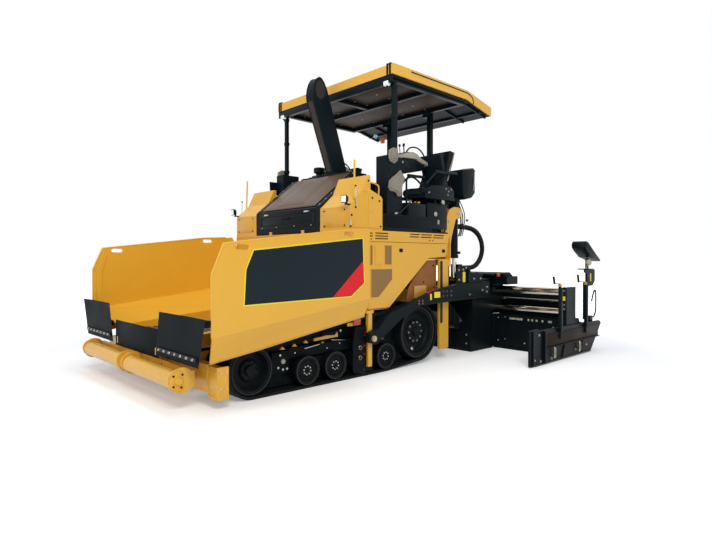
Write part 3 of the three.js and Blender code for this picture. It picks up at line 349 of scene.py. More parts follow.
def light_scene():
    floor_shape = bmesh.new()
    bmesh.ops.create_grid(floor_shape, x_segments=1, y_segments=1, size=60)
    mesh = bpy.data.meshes.new("ground_sheet")
    floor_shape.to_mesh(mesh)
    floor_shape.free()
    ground = bpy.data.objects.new("ground_sheet", mesh)
    bpy.context.scene.collection.objects.link(ground)
    ground.location.z = CAD_BOX[0][2] - 0.001
    material, shader = blank("ground_matte_white")
    shader.inputs["Base Color"].default_value = (0.93, 0.93, 0.93, 1)
    shader.inputs["Roughness"].default_value = 1
    shader.inputs["Specular IOR Level"].default_value = 0
    seen = background_rays(material)
    where = put(material, "TexCoord").outputs["Object"]
    away = put(material, "VectorMath", {0: where}, operation="LENGTH").outputs["Value"]
    fade = put(material, "MapRange", {"Value": away}, {"From Min": 4.5, "From Max": 9.0,
        "To Min": 0.24, "To Max": 1.0})
    lift = put(material, "Math", {0: seen, 1: fade.outputs["Result"]}, operation="MULTIPLY")
    shader.inputs["Emission Color"].default_value = (1, 1, 1, 1)
    wire(material, lift.outputs[0], shader.inputs["Emission Strength"])
    mesh.materials.append(material)

    world = bpy.data.worlds.new("even_sky")
    bpy.context.scene.world = world
    world.use_nodes = True
    shown = world.node_tree.nodes["Background"]
    sky = put(world, "Mix", {0: background_rays(world)}, {MIX_FROM: (0.42, 0.45, 0.49, 1),
        MIX_TO: (1, 1, 1, 1)}, data_type="RGBA")
    wire(world, sky.outputs[MIX_RESULT], shown.inputs["Color"])
    shown.inputs["Strength"].default_value = 1


def soft_lamp(name, place, target, size, watts, colour):
    lamp = bpy.data.lights.new(name, "AREA")
    lamp.shape = "DISK"
    lamp.size = size
    lamp.energy = watts
    lamp.color = colour
    holder = bpy.data.objects.new(name, lamp)
    bpy.context.scene.collection.objects.link(holder)
    holder.location = place
    holder.rotation_euler = (Vector(target) - Vector(place)).to_track_quat("-Z", "Y").to_euler()
    return holder


light_scene()
soft_lamp("key_lamp", (6.5, 9.0, 8.5), (0.5, 0, 1.2), 4.0, 620, (1, 0.97, 0.92))
soft_lamp("front_lamp", (12.0, -1.0, 5.0), (1.5, 0, 1.2), 5.0, 170, (0.93, 0.96, 1))
soft_lamp("top_lamp", (0.0, 1.0, 12.0), (0.5, 0, 1.2), 6.0, 380, (1, 1, 1))

# %% [markdown]
# Every fitting below starts as one of a few plain shapes: a block with softened edges, a plate
# cut to an outline, a turned part, a bent tube, a bolt. Each function starts from a bmesh
# operator and returns a small bmesh. Positions are written on the machine's own origin, under
# the tow point, and are moved to the frame's origin when a piece is finished.
# %% Shape helpers: blocks and plates
UP, FORWARD, OUT = Vector((0, 0, 1)), Vector((1, 0, 0)), Vector((0, 1, 0))


SHARP = 0.5      # radians, about 29 degrees


def soften(shape, width, segments=2):
    """Rounds every edge that turns sharply."""
    sharp = [e for e in shape.edges if len(e.link_faces) == 2 and e.calc_face_angle() > SHARP]
    bmesh.ops.bevel(shape, geom=sharp, offset=width, offset_type="OFFSET", segments=segments,
        profile=0.5, affect="EDGES", clamp_overlap=True, material=-1)
    return shape


def block(low, high, edge=0.003, segments=2):
    shape = bmesh.new()
    low, high = Vector(low), Vector(high)
    size = Matrix.Diagonal((*(high - low), 1))
    bmesh.ops.create_cube(shape, size=1, matrix=Matrix.Translation((low + high) / 2) @ size)
    return soften(shape, edge, segments) if edge else shape


PLANES = {"x": lambda u, v, w: (w, u, v), "y": lambda u, v, w: (u, w, v),
    "z": lambda u, v, w: (u, v, w)}


def thicken(shape, face, way, edge, segments):
    """A flat face drawn out along way into a closed plate with soft edges."""
    drawn = bmesh.ops.extrude_face_region(shape, geom=[face])
    moved = [v for v in drawn["geom"] if isinstance(v, bmesh.types.BMVert)]
    bmesh.ops.translate(shape, verts=moved, vec=way)
    bmesh.ops.recalc_face_normals(shape, faces=shape.faces)
    return soften(shape, edge, segments) if edge else shape


def plate(outline, low, high, axis="y", edge=0.002, segments=1):
    """An outline in the plane across an axis, given thickness from low to high."""
    shape = bmesh.new()
    face = shape.faces.new([shape.verts.new(PLANES[axis](u, v, low)) for u, v in outline])
    return thicken(shape, face, PLANES[axis](0, 0, high - low), edge, segments)


def slab(corners, thickness, edge=0.002):
    """A flat polygon in space, given thickness along its own normal."""
    shape = bmesh.new()
    face = shape.faces.new([shape.verts.new(c) for c in corners])
    face.normal_update()
    return thicken(shape, face, face.normal * thickness, edge, 1)


print("blocks, plates and slabs ready")

# %% [markdown]
# Turned parts are a half outline spun once round, as on a lathe. Bars and bolts are short
# turned parts. A bent tube is a ring carried along a path and bridged to the next ring: the
# ring's roll is passed on from step to step, so the tube never twists.
# %% Shape helpers: turned parts, tubes and bolts
def aim(centre, direction):
    """The transform that stands a shape made along Z at centre, pointing along direction."""
    turn = UP.rotation_difference(Vector(direction).normalized()).to_matrix().to_4x4()
    return Matrix.Translation(centre) @ turn


def turned(outline, centre=(0, 0, 0), direction=(0, 0, 1), steps=32):
    """Spins (radius, distance) points round the direction through centre."""
    shape = bmesh.new()
    points = [shape.verts.new((radius, 0, along)) for radius, along in outline]
    edges = [shape.edges.new(pair) for pair in zip(points, points[1:])]
    bmesh.ops.spin(shape, geom=points + edges, cent=(0, 0, 0), axis=(0, 0, 1), dvec=(0, 0, 0),
        angle=math.tau, steps=steps, use_merge=True)
    bmesh.ops.remove_doubles(shape, verts=shape.verts, dist=1e-5)
    bmesh.ops.transform(shape, matrix=aim(centre, direction), verts=shape.verts)
    bmesh.ops.recalc_face_normals(shape, faces=shape.faces)
    return shape


def bar(start, end, radius, steps=16, edge=0.002):
    start, end = Vector(start), Vector(end)
    length = (end - start).length
    return turned([(0, 0), (radius - edge, 0), (radius, edge), (radius, length - edge),
        (radius - edge, length), (0, length)], start, end - start, steps)


def tube(path, radius, sides=10, closed_ends=True):
    """A round tube along a path; radius is one number or one for each point."""
    shape = bmesh.new()
    path = [Vector(p) for p in path]
    radii = radius if isinstance(radius, (list, tuple)) else [radius] * len(path)
    heading, ring, turn = UP, None, Matrix.Identity(3)
    for i, point in enumerate(path):
        ahead = path[min(i + 1, len(path) - 1)] - path[max(i - 1, 0)]
        ahead.normalize()
        turn = heading.rotation_difference(ahead).to_matrix() @ turn
        heading = ahead
        made = bmesh.ops.create_circle(shape, segments=sides, radius=radii[i],
            matrix=Matrix.Translation(point) @ turn.to_4x4(), cap_ends=False)["verts"]
        edges = list({e for v in made for e in v.link_edges})
        if ring:
            bmesh.ops.bridge_loops(shape, edges=ring + edges)
        ring = edges
    if closed_ends:
        bmesh.ops.holes_fill(shape, edges=[e for e in shape.edges if e.is_boundary], sides=0)
    bmesh.ops.recalc_face_normals(shape, faces=shape.faces)
    return shape


def smooth_path(points, steps=6):
    """More points on the smooth curve through a few (Catmull-Rom)."""
    points = [Vector(p) for p in points]
    ends = [points[0] * 2 - points[1], *points, points[-1] * 2 - points[-2]]
    path = []
    for a, b, c, d in zip(ends, ends[1:], ends[2:], ends[3:]):
        for k in range(steps):
            t = k / steps
            path.append(0.5 * (2 * b + (c - a) * t + (2 * a - 5 * b + 4 * c - d) * t ** 2
                + (3 * b - a - 3 * c + d) * t ** 3))
    return path + [points[-1]]


def bolt(centre, normal, size=0.016):
    """A hexagon head on its washer, standing on a surface."""
    washer = turned([(0, 0), (size, 0), (size, size * 0.12), (0, size * 0.12)], centre, normal, 12)
    head = bmesh.new()
    bmesh.ops.create_cone(head, cap_ends=True, segments=6, radius1=size * 0.72,
        radius2=size * 0.66, depth=size * 0.7, matrix=aim(centre,
        normal) @ Matrix.Translation((0, 0, size * 0.44)))
    return gather([washer, head])


def gather(parts):
    """Several shapes as one."""
    whole = bmesh.new()
    for part in parts:
        carried = bpy.data.meshes.new("carried")
        part.to_mesh(carried)
        part.free()
        whole.from_mesh(carried)
        bpy.data.meshes.remove(carried)
    return whole


def other_side(shape):
    """Mirrored across the machine's middle plane."""
    bmesh.ops.scale(shape, vec=(1, -1, 1), verts=shape.verts)
    bmesh.ops.reverse_faces(shape, faces=shape.faces)
    return shape


def side_bolts(y, size, places):
    """Bolts that stand on a side face, at the (x, z) places."""
    return [bolt((x, y, z), OUT, size) for x, z in places]


def side_tube(points, y, radius, sides=8, steps=5):
    """A smooth tube that stays in one plane along the side."""
    return tube(smooth_path([(x, y, z) for x, z in points], steps), radius, sides)


print("turned parts, tubes and bolts ready")

# %% [markdown]
# A finished piece is one mesh at the origin with its place in its vertices, flat faces shaded
# flat and curved ones smooth. It rides on a body of the frame. Most of this machine comes in
# left and right, so a second function makes a piece once and mirrors a copy of it.
# %% Finishing a piece
CREASE = math.radians(32)


def piece(name, parts, material, body="chassis", replaces=()):
    shape = gather(parts)
    bmesh.ops.translate(shape, verts=shape.verts, vec=(ORIGIN_X, 0, 0))
    for face in shape.faces:
        face.smooth = True
    for edge in shape.edges:
        edge.smooth = len(edge.link_faces) == 2 and edge.calc_face_angle() <= CREASE
    mesh = bpy.data.meshes.new(name)
    shape.to_mesh(mesh)
    shape.free()
    made = bpy.data.objects.new(name, mesh)
    bpy.context.scene.collection.objects.link(made)
    mesh.materials.append(material)
    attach(made, body)
    if replaces:
        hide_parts(*replaces)
    return made


def pair(name, parts, material, body="chassis", slot=None, replaces=()):
    """The piece on the left and its mirror image; {} in a name stands for the side."""
    left = gather(parts)
    for side, shape in ("left", left.copy()), ("right", other_side(left)):
        piece(f"{name}_{side}", [shape], material, body.format(side),
            [node.format(side) for node in replaces])


print("piece() and pair() ready")

# %% [markdown]
# A thick corrugated sleeve carries the screed's hoses and wires. It leaves the deck's rear,
# loops back and comes forward into the valve block. It has a fixed length and is made before
# the other pieces. The corrugation is the tube's radius going in and out along the path.
# %% Umbilical hose
HOSE_Y = 0.8
HOSE_ROUTE = [(-2.4203, 1.9), (-2.47, 1.9), (-2.53, 1.9), (-2.6, 1.9), (-2.68, 1.898),
    (-2.76, 1.892), (-2.85, 1.882), (-2.93, 1.862), (-3.01, 1.828), (-3.08, 1.779),
    (-3.134, 1.718), (-3.17, 1.648), (-3.186, 1.572), (-3.176, 1.494), (-3.144, 1.42),
    (-3.094, 1.356), (-3.03, 1.305), (-2.96, 1.27), (-2.88, 1.251), (-2.8, 1.246),
    (-2.72, 1.245), (-2.64, 1.245), (-2.58, 1.245), (-2.5203, 1.245)]
hose_line = smooth_path([(x, HOSE_Y, z) for x, z in HOSE_ROUTE], 8)
hose_radii = [0.04 if k % 2 else 0.0355 for k in range(len(hose_line))]
hose_radii[0] = hose_radii[-1] = 0.0395
piece("hose_sleeve", [tube(hose_line, hose_radii, 20)], SLEEVE_PLASTIC,
    replaces=["umbilical_hose"])
hose = bpy.data.objects["hose_sleeve"]
hose.parent = None
hose.matrix_world = Matrix.Identity(4)
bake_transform(hose)

# %% [markdown]
# The drive wheel at the rear and the idler in front guide the rubber belt. Each is a cast disc
# with a rubber face: a flat outer lip, a dished web, and a raised hub with a ring of bolts.
# They are turned parts, so each outline is spun. A thin dull ring lies on the lip, and the
# drive wheel's web carries a plug and three small bolts.
# %% Drive and idler wheels
WHEEL_INNER, WHEEL_FACE = 0.8503, 1.2605
WHEELS = {"drive_wheel": ((-0.976, 0.426), 0.3475, 10), "idler_wheel": ((1.571, 0.28), 0.2445, 8)}


def wheel_disc(centre, radius):
    x, z = centre
    depth = WHEEL_FACE - WHEEL_INNER
    outline = [(0, depth - 0.02), (0.052, depth - 0.02), (0.058, depth - 0.028),
        (0.06, depth - 0.05), (radius * 0.4, depth - 0.052), (radius * 0.43, depth - 0.07),
        (radius * 0.72, depth - 0.085), (radius * 0.78, depth - 0.06),
        (radius * 0.8, depth - 0.012), (radius * 0.815, depth - 0.006),
        (radius * 0.9, depth - 0.006), (radius * 0.905, depth), (radius * 0.985, depth),
        (radius, depth - 0.012), (radius, 0.012), (radius * 0.985, 0), (0, 0)]
    return turned(outline, (x, WHEEL_INNER, z), OUT, 64)


def ring_bolts(centre, radius, count, y, size, first=0.0):
    x, z = centre
    return [bolt((x + radius * math.cos(first + math.tau * k / count), y,
        z + radius * math.sin(first + math.tau * k / count)), OUT, size) for k in range(count)]


for wheel, (centre, radius, count) in WHEELS.items():
    pair(f"{wheel}_disc", [wheel_disc(centre, radius)], WHEEL_RUBBER, wheel + "_{}",
        replaces=[wheel + "_{}"])
    pair(f"{wheel}_bolts", ring_bolts(centre, radius * 0.37, count, WHEEL_FACE - 0.053, 0.014),
        ZINC if wheel == "drive_wheel" else FRAME_BLACK, wheel + "_{}", slot="worn_steel")
    pair(f"{wheel}_rim_ring", [turned([(radius * 0.915, -0.002), (radius * 0.922, 0.003),
        (radius * 0.932, 0.003), (radius * 0.939, -0.002)], (centre[0], WHEEL_FACE, centre[1]),
        OUT, 64)], RING_STEEL, wheel + "_{}")
    pair(f"{wheel}_hub_ring", [turned([(radius * 0.44, 0), (radius * 0.44, 0.008),
        (radius * 0.47, 0.012), (radius * 0.49, 0.008), (radius * 0.49, -0.012)],
        (centre[0], WHEEL_FACE - 0.075, centre[1]), OUT, 48)], FRAME_BLACK, wheel + "_{}")
pair("drive_wheel_plugs", [turned([(0, 0.022), (0.016, 0.022), (0.024, 0.016), (0.026, -0.01),
    (0, -0.01)], (-0.928, WHEEL_FACE - 0.078, 0.202), OUT, 20),
    *side_bolts(WHEEL_FACE - 0.075, 0.012, ((-0.746, 0.286), (-0.71, 0.34), (-0.8, 0.245)))],
    ZINC, "drive_wheel_{}")
print("wheels turned:", ", ".join(WHEELS))

# %% [markdown]
# Four pairs of road wheels carry the belt between the big wheels. Each is a pressed disc with a
# rubber tyre, a thin rim ring that catches the light, and eight bright bolts round a small hub.
# The disc is turned, and stands a few millimetres proud of the plain wheel in the frame.
# %% Road wheels
ROAD_WHEEL_X = (0.882, 0.48, 0.056, -0.347)
ROAD_WHEEL_Z = 0.1903


def road_tyre(x):
    return turned([(0.118, 0.0), (0.118, 0.016), (0.126, 0.022), (0.15, 0.022), (0.158, 0.014),
        (0.1585, -0.01), (0.118, -0.01)], (x, 1.258, ROAD_WHEEL_Z), OUT, 40)


def road_disc(x):
    return turned([(0, 0.016), (0.022, 0.016), (0.026, 0.012), (0.03, 0.005), (0.062, 0.004),
        (0.07, 0.012), (0.098, 0.012), (0.104, 0.008), (0.112, 0.008), (0.119, 0.001),
        (0.119, -0.01)], (x, 1.2595, ROAD_WHEEL_Z), OUT, 40)


pair("road_tyres", [road_tyre(x) for x in ROAD_WHEEL_X], WHEEL_RUBBER)
pair("road_discs", [road_disc(x) for x in ROAD_WHEEL_X], FRAME_BLACK)
pair("road_wheel_rings", [turned([(0.1465, 0.0215), (0.1475, 0.0245), (0.1505, 0.0245),
    (0.1515, 0.0205)], (x, 1.258, ROAD_WHEEL_Z), OUT, 40) for x in ROAD_WHEEL_X], RING_STEEL)
pair("road_wheel_bolts", [b for x in ROAD_WHEEL_X for b in ring_bolts((x, ROAD_WHEEL_Z), 0.046, 8,
    1.2635, 0.0095, 0.2)], ZINC)
print("road wheels at x =", ROAD_WHEEL_X)

# %% [markdown]
# Between the wheels show the bogie beams, the tensioner's housing, pivot caps with
# yellow-passivated rings, grease lines and rows of small bolts. A guard plate behind the
# wheels closes the view through the belt, and a second one covers the third wheel beside the
# tow guide. Yellow gussets and a red reflector sit above them. Most of it is deep in shade, so
# short simple shapes are enough, each with a bright edge where the real one is plated.
# %% Undercarriage fittings
def bogie_beam(x0, x1):
    middle = (x0 + x1) / 2
    return plate([(x0, 0.15), (x1, 0.15), (x1 - 0.03, 0.235), (middle + 0.09, 0.31),
        (middle - 0.09, 0.31), (x0 + 0.03, 0.235)], 1.165, 1.195, edge=0.006)


def round_cap(x, y, z, radius, height=0.014):
    return turned([(0, height), (radius * 0.8, height), (radius, height * 0.6), (radius, -0.01),
        (0, -0.01)], (x, y, z), OUT, 20)


pair("bogie_beams", [bogie_beam(0.5, 0.86), bogie_beam(-0.33, 0.04)], FRAME_BLACK)
pair("belt_guard", [plate([(1.42, 0.045), (1.36, 0.12), (1.3, 0.28), (1.34, 0.4), (1.42, 0.5),
    (0.6, 0.6), (-0.56, 0.72), (-0.6, 0.43), (-0.66, 0.25), (-0.8, 0.075), (-0.86, 0.045)],
    1.12, 1.148, edge=0.004)], FRAME_BLACK)
pair("side_beam_cover", [plate([(-0.46, 0.33), (1.1, 0.33), (1.16, 0.4), (1.05, 0.455),
    (-0.36, 0.455)], 1.15, 1.2, edge=0.008), plate([(-0.25, 0.46), (0.62, 0.46), (0.6, 0.56),
    (-0.2, 0.6)], 1.15, 1.165, edge=0.005), block((1.07, 1.14, 0.19), (1.3, 1.2, 0.42), 0.01)],
    FRAME_BLACK)
pair("tow_guide_plate", [plate([(-0.09, 0.055), (0.21, 0.055), (0.235, 0.1), (0.235, 0.4),
    (0.2, 0.6), (-0.09, 0.6)], 1.285, 1.295, edge=0.003), block((-0.05, 1.2, 0.4),
    (0.19, 1.285, 0.44), 0.004)], FRAME_BLACK)
pair("grease_lines", [bar((0.88, 1.208, 0.418), (0.665, 1.208, 0.443), 0.009, 10),
    bar((0.49, 1.204, 0.471), (0.205, 1.204, 0.441), 0.004, 8),
    round_cap(0.323, 1.166, 0.559, 0.017), *[round_cap(x, 1.2, z, 0.014)
    for x, z in ((1.225, 0.257), (1.165, 0.232), (1.113, 0.235), (1.2, 0.385))]], ZINC)
pair("pivot_caps", [round_cap(1.156, 1.2, 0.315, 0.027), round_cap(-0.232, 1.2, 0.4, 0.021)],
    CONSOLE_ABS, slot="worn_steel")
pair("pivot_rings", [turned([(0.012, 0.002), (0.014, 0.014), (0.024, 0.016), (0.029, 0.01),
    (0.029, -0.004)], (0.125, 1.295, z), OUT, 24) for z in (0.351, 0.232)]
    + [block((0.6, 1.2, 0.447), (0.645, 1.212, 0.468), 0.003)], BRONZE_ZINC)
pair("side_beam_bolts", side_bolts(1.2, 0.009, [(1.0, 0.385), (0.55, 0.385), (0.36, 0.42),
    (-0.1, 0.42), (-0.24, 0.36), (-0.36, 0.4)]), ZINC)
pair("red_grease_caps", [turned([(0, 0.01), (0.005, 0.009), (0.007, 0.004), (0.007, -0.004)],
    (x, y, z), OUT, 8) for x, y, z in [(0.045, 1.295, 0.521), (0.0, 1.295, 0.521),
    (0.045, 1.295, 0.491), (0.0, 1.295, 0.373), (0.05, 1.295, 0.367), (0.05, 1.295, 0.268),
    (0.0, 1.295, 0.271), (0.065, 1.295, 0.085), (-0.527, 1.12, 0.436), (-0.59, 1.12, 0.452),
    (-0.528, 1.12, 0.373)]], MARKER_RED, slot="black_paint")
pair("drive_bracket", [plate([(-0.64, 0.3), (-0.46, 0.26), (-0.42, 0.45), (-0.6, 0.62),
    (-0.8, 0.83), (-0.72, 0.8), (-0.6, 0.55)], 1.09, 1.12, edge=0.004)], FRAME_BLACK)
pair("fender_gussets", [plate([(x, z), (x + 0.065, z + 0.005), (x + 0.035, z + 0.034)], 1.266,
    1.29, edge=0.002) for x, z in ((1.19, 0.455), (1.035, 0.47), (0.885, 0.49))]
    + [plate([(0.46, 0.515), (0.81, 0.5), (0.8, 0.53), (0.62, 0.545), (0.515, 0.535),
    (0.47, 0.57)], 1.266, 1.29, edge=0.002), block((0.095, 1.262, 0.612), (0.3, 1.272, 0.652),
    0.003)], YELLOW_ENAMEL)
pair("side_reflector", [block((0.1, 1.272, 0.618), (0.215, 1.29, 0.69), 0.004)], MARKER_RED,
    slot="black_paint")
print("undercarriage fitted")

# %% [markdown]
# Trucks push back against two heavy rollers on a swinging beam. Each roller is a thick tube
# with welded end discs, polished by tyres. It is turned with a step at each end, so its
# highlight runs unbroken along its length.
# %% Push rollers
ROLLER_AT = (2.318, 0.295)


def roller():
    radius, low, high = 0.083, 0.0865, 1.1885
    outline = [(0.0302, low - 0.006), (0.0302, low), (radius - 0.02, low),
        (radius - 0.006, low + 0.004), (radius, low + 0.012)]
    outline += [(radius, low + 0.08 + k * (high - low - 0.16) / 6) for k in range(7)]
    outline += [(radius, high - 0.012), (radius - 0.006, high - 0.004), (radius - 0.02, high),
        (0.0302, high), (0.0302, high + 0.006)]
    return turned(outline, (ROLLER_AT[0], 0, ROLLER_AT[1]), OUT, 48)


def roller_band(y):
    return turned([(0.0828, -0.011), (0.0845, -0.009), (0.0845, 0.009), (0.0828, 0.011)],
        (ROLLER_AT[0], y, ROLLER_AT[1]), OUT, 48)


pair("roller_tube", [roller()], YELLOW_ENAMEL, "push_roller_{}", replaces=["push_roller_{}"])
pair("roller_bands", [roller_band(y) for y in (0.115, 1.155)], YELLOW_ENAMEL, "push_roller_{}")
print("two push rollers turned")

# %% [markdown]
# The beam's outer plates are cut as a cam, with a bearing cap and bolts on the outside face.
# In the middle a bracket holds the rollers' inner ends on two bosses, over the pivot pin.
# %% Push beam fittings
def cam_cap():
    x, z = ROLLER_AT
    return [plate([(x - 0.055, z - 0.08), (x + 0.02, z - 0.095), (x + 0.075, z - 0.05),
        (x + 0.085, z + 0.01), (x + 0.06, z + 0.07), (x, z + 0.098), (x - 0.05, z + 0.08)], 1.2151,
        1.224, edge=0.003, segments=2), turned([(0, 0.026), (0.03, 0.026), (0.036, 0.02),
        (0.038, 0), (0.052, -0.002)], (x, 1.224, z), OUT, 28)]


pair("roller_end_cap", cam_cap(), YELLOW_ENAMEL, "push_beam")
pair("roller_end_bolts", [bolt((ROLLER_AT[0] + dx, 1.224, ROLLER_AT[1] + dz), OUT, 0.011)
    for dx, dz in ((-0.04, 0.055), (0.045, 0.05), (-0.03, -0.06), (0.045, -0.045))], BLACK_PLASTIC,
    "push_beam", slot="worn_steel")
piece("roller_centre_bracket", [plate([(2.19, 0.215), (2.3, 0.2), (2.345, 0.25), (2.345, 0.34),
    (2.3, 0.385), (2.19, 0.385)], y, y + 0.014, edge=0.004) for y in (-0.058, 0.044)]
    + [turned([(0, 0.05), (0.034, 0.05), (0.04, 0.044), (0.04, -0.05)],
    (ROLLER_AT[0], side * 0.02, ROLLER_AT[1]), (0, side, 0), 24) for side in (1, -1)]
    + [block((2.195, -0.045, 0.36), (2.31, 0.045, 0.38), 0.004)], YELLOW_ENAMEL, "push_beam")
piece("beam_face_bolts", [bolt((2.194, y, z), FORWARD, 0.013) for y in (-0.95, -0.6, -0.2, 0.2,
    0.6, 0.95) for z in (0.245, 0.345)], ZINC, "push_beam")
print("push beam fitted")

# %% [markdown]
# The hopper's sides are folded plate. Up close they read through their rims: a rolled top edge,
# a folded front flange, and a lower skirt that turns under. Each is a thin softened bar or
# slab laid on the plate's edge, so the edge catches a line of light as the real fold does.
# The lifting slots get a thick rim, because a torch-cut hole is dressed with a ring.
# %% Hopper rims
HOPPER_HALF = 1.584
WING_RIM = [(2.178, 1.249), (2.058, 1.53), (0.62, 1.7), (0.252, 1.716)]
FRONT_RIM = [(2.178, 0.701), (2.178, 1.249)]


def rim_bar(points, y, radius):
    path = [Vector((x, y, z)) for x, z in points]
    fine = []
    for a, b in zip(path, path[1:]):
        fine += [a.lerp(b, t) for t in (0.004, 0.25, 0.5, 0.75, 0.996)]
    return tube([path[0], *fine, path[-1]], radius, 8)


SLOT_HALF, SLOT_RADIUS = 0.048, 0.031


def slot_rim(x, z):
    ring = []
    for k in range(25):
        angle = math.tau * k / 24
        shift = math.copysign(SLOT_HALF, math.cos(angle))
        ring.append((x + shift + SLOT_RADIUS * math.cos(angle), HOPPER_HALF - 0.007,
            z + SLOT_RADIUS * math.sin(angle)))
    return tube(ring, 0.0085, 6, closed_ends=False)


pair("wing_rim", [rim_bar(WING_RIM, HOPPER_HALF - 0.007, 0.0105),
    rim_bar(FRONT_RIM, HOPPER_HALF - 0.007, 0.009)], YELLOW_ENAMEL, "wing_{}")
pair("lifting_slot_rims", [slot_rim(1.874, 1.503), slot_rim(0.56, 1.657)], YELLOW_ENAMEL,
    "wing_{}")
pair("wing_skirt_edge", [tube([(2.127, 1.449, 0.456), (1.6, 1.463, 0.53), (0.9, 1.48, 0.644),
    (0.254, 1.499, 0.744)], 0.008, 8)], SILL_ENAMEL, "wing_{}")
pair("wing_inner_stiffener", [slab([(2.13, 1.566, 0.8), (2.13, 1.566, 1.24), (2.05, 1.566, 1.47),
    (2.0, 1.566, 1.44), (2.07, 1.566, 1.22), (2.07, 1.566, 0.8)], 0.01, 0.003)], YELLOW_ENAMEL,
    "wing_{}")
print("hopper rims bent")

# %% [markdown]
# The wing's side carries a big printed film: a dark field with clipped corners, a thin bright
# line round it and a red band across its lower rear corner. Film has hardly any thickness, so
# each colour is a sheet about a millimetre proud of the plate. The field is left without any
# lettering.
# %% Side film
FIELD = [(1.755, 1.472), (0.36, 1.615), (0.341, 1.128), (0.534, 0.993), (1.854, 0.975),
    (1.834, 1.296)]


def grown(outline, by):
    """The outline with each corner moved out from the middle along its own bisector."""
    corners = [Vector(p) for p in outline]
    area = sum(a.x * b.y - b.x * a.y for a, b in zip(corners, corners[1:] + corners[:1]))
    turn = 1 if area > 0 else -1
    moved = []
    for i, corner in enumerate(corners):
        before = (corner - corners[i - 1]).normalized()
        after = (corners[(i + 1) % len(corners)] - corner).normalized()
        out_a = Vector((before.y, -before.x)) * turn
        out_b = Vector((after.y, -after.x)) * turn
        bisector = (out_a + out_b).normalized()
        moved.append(tuple(corner + bisector * by / max(bisector.dot(out_a), 0.3)))
    return moved


RED_BAND = [(0.352, 1.372), (0.352, 1.128), (0.538, 0.998), (0.79, 0.995)]


def film(outline, low, high):
    return plate(outline, HOPPER_HALF + low, HOPPER_HALF + high, edge=0)


pair("side_film_line", [film(grown(FIELD, 0.012), 0.0003, 0.001)], DECAL_LINE, "wing_{}",
    slot="yellow_paint")
pair("side_film_field", [film(FIELD, 0.0012, 0.0018)], DECAL_BLACK, "wing_{}")
pair("side_film_band", [film(RED_BAND, 0.002, 0.0026)], DECAL_RED, "wing_{}")
print("side film laid, field", len(FIELD), "corners")

# %% [markdown]
# Rubber flashings close the gap between the hopper and the truck. Heavy sheet sags a little
# between its bolts, so the front face is a fine grid that is pushed in and out by a slow wave.
# A steel strip and a row of bright bolts clamp its lower edge. The apron in the middle has a
# flat sheet of its own.
# %% Flashings
FLASH_X = 2.2544
FLASH = ((0.597, 0.452), (1.495, 0.452), (1.637, 0.879), (0.693, 0.879))


def flashing_sheet():
    shape = bmesh.new()
    bmesh.ops.create_grid(shape, x_segments=24, y_segments=12, size=0.5)
    low_in, low_out, top_out, top_in = [Vector((0, *corner)) for corner in FLASH]
    for vert in shape.verts:
        u, v = vert.co.x + 0.5, vert.co.y + 0.5
        spot = low_in.lerp(low_out, u).lerp(top_in.lerp(top_out, u), v)
        swell = 0.005 * math.sin(6.5 * u + 1.0) * v + 0.004 * math.sin(11 * u + 3) * v * v
        vert.co = Vector((FLASH_X + 0.0065 + swell, spot.y, spot.z))
    bmesh.ops.solidify(shape, geom=shape.faces, thickness=0.012)
    bmesh.ops.recalc_face_normals(shape, faces=shape.faces)
    return shape


pair("flashing_sheet", [flashing_sheet()], SHEET_RUBBER, "wing_{}", replaces=["flashing_{}"])
pair("flashing_bracket", [block((2.1783, 1.5, 0.8), (2.245, 1.58, 0.86), 0.004),
    block((2.1783, 1.3, 0.62), (2.2435, 1.36, 0.68), 0.004), block((2.1783, 0.8, 0.6),
    (2.2435, 0.86, 0.66), 0.004)], FRAME_BLACK, "wing_{}", slot="sheet_rubber")
pair("flashing_clamp", [slab([(FLASH_X + 0.019, 0.64, 0.492), (FLASH_X + 0.019, 1.475, 0.492),
    (FLASH_X + 0.019, 1.487, 0.53), (FLASH_X + 0.019, 0.65, 0.53)], 0.006, 0.002)],
    BLACK_POWDER, "wing_{}")
pair("flashing_bolts", [bolt((FLASH_X + 0.0245, 0.655 + 0.825 * (k + 0.5) / 7, 0.511), FORWARD,
    0.014) for k in range(7)], ZINC, "wing_{}")
piece("apron_face", [block((2.2232, -0.59, 0.4), (2.233, 0.59, 0.69), 0.003),
    *[bolt((2.233, y, 0.425), FORWARD, 0.013) for y in (-0.42, -0.21, 0, 0.21, 0.42)]],
    SHEET_RUBBER, "apron")
print("flashings and apron hung")

# %% [markdown]
# Two conveyors carry the mix to the rear. Their slats cross the slot on two chains, with a
# ridged guard over the middle. The slats are one bar repeated, close together, and only their
# tops show.
# %% Conveyor slats
FIRST_SLAT, LAST_SLAT, SLAT_COUNT = 0.28, 2.02, 22


def slats(low, high):
    parts = []
    for k in range(SLAT_COUNT):
        x = FIRST_SLAT + k * (LAST_SLAT - FIRST_SLAT) / (SLAT_COUNT - 1)
        parts.append(block((x - 0.014, low, 0.5655), (x + 0.014, high, 0.58), 0.003, 1))
    for y in (low + 0.05, high - 0.05):
        parts.append(block((0.26, y - 0.012, 0.5655), (2.04, y + 0.012, 0.574), 0.002, 1))
    return parts


pair("conveyor_slats", slats(0.06, 0.6), WORN_STEEL)
piece("chain_guard", [plate([(-0.04, 0.545), (0.04, 0.545), (0.012, 0.6), (-0.012, 0.6)], 0.26,
    2.05, "x", 0.003)], WORN_STEEL)
print("conveyors slatted")

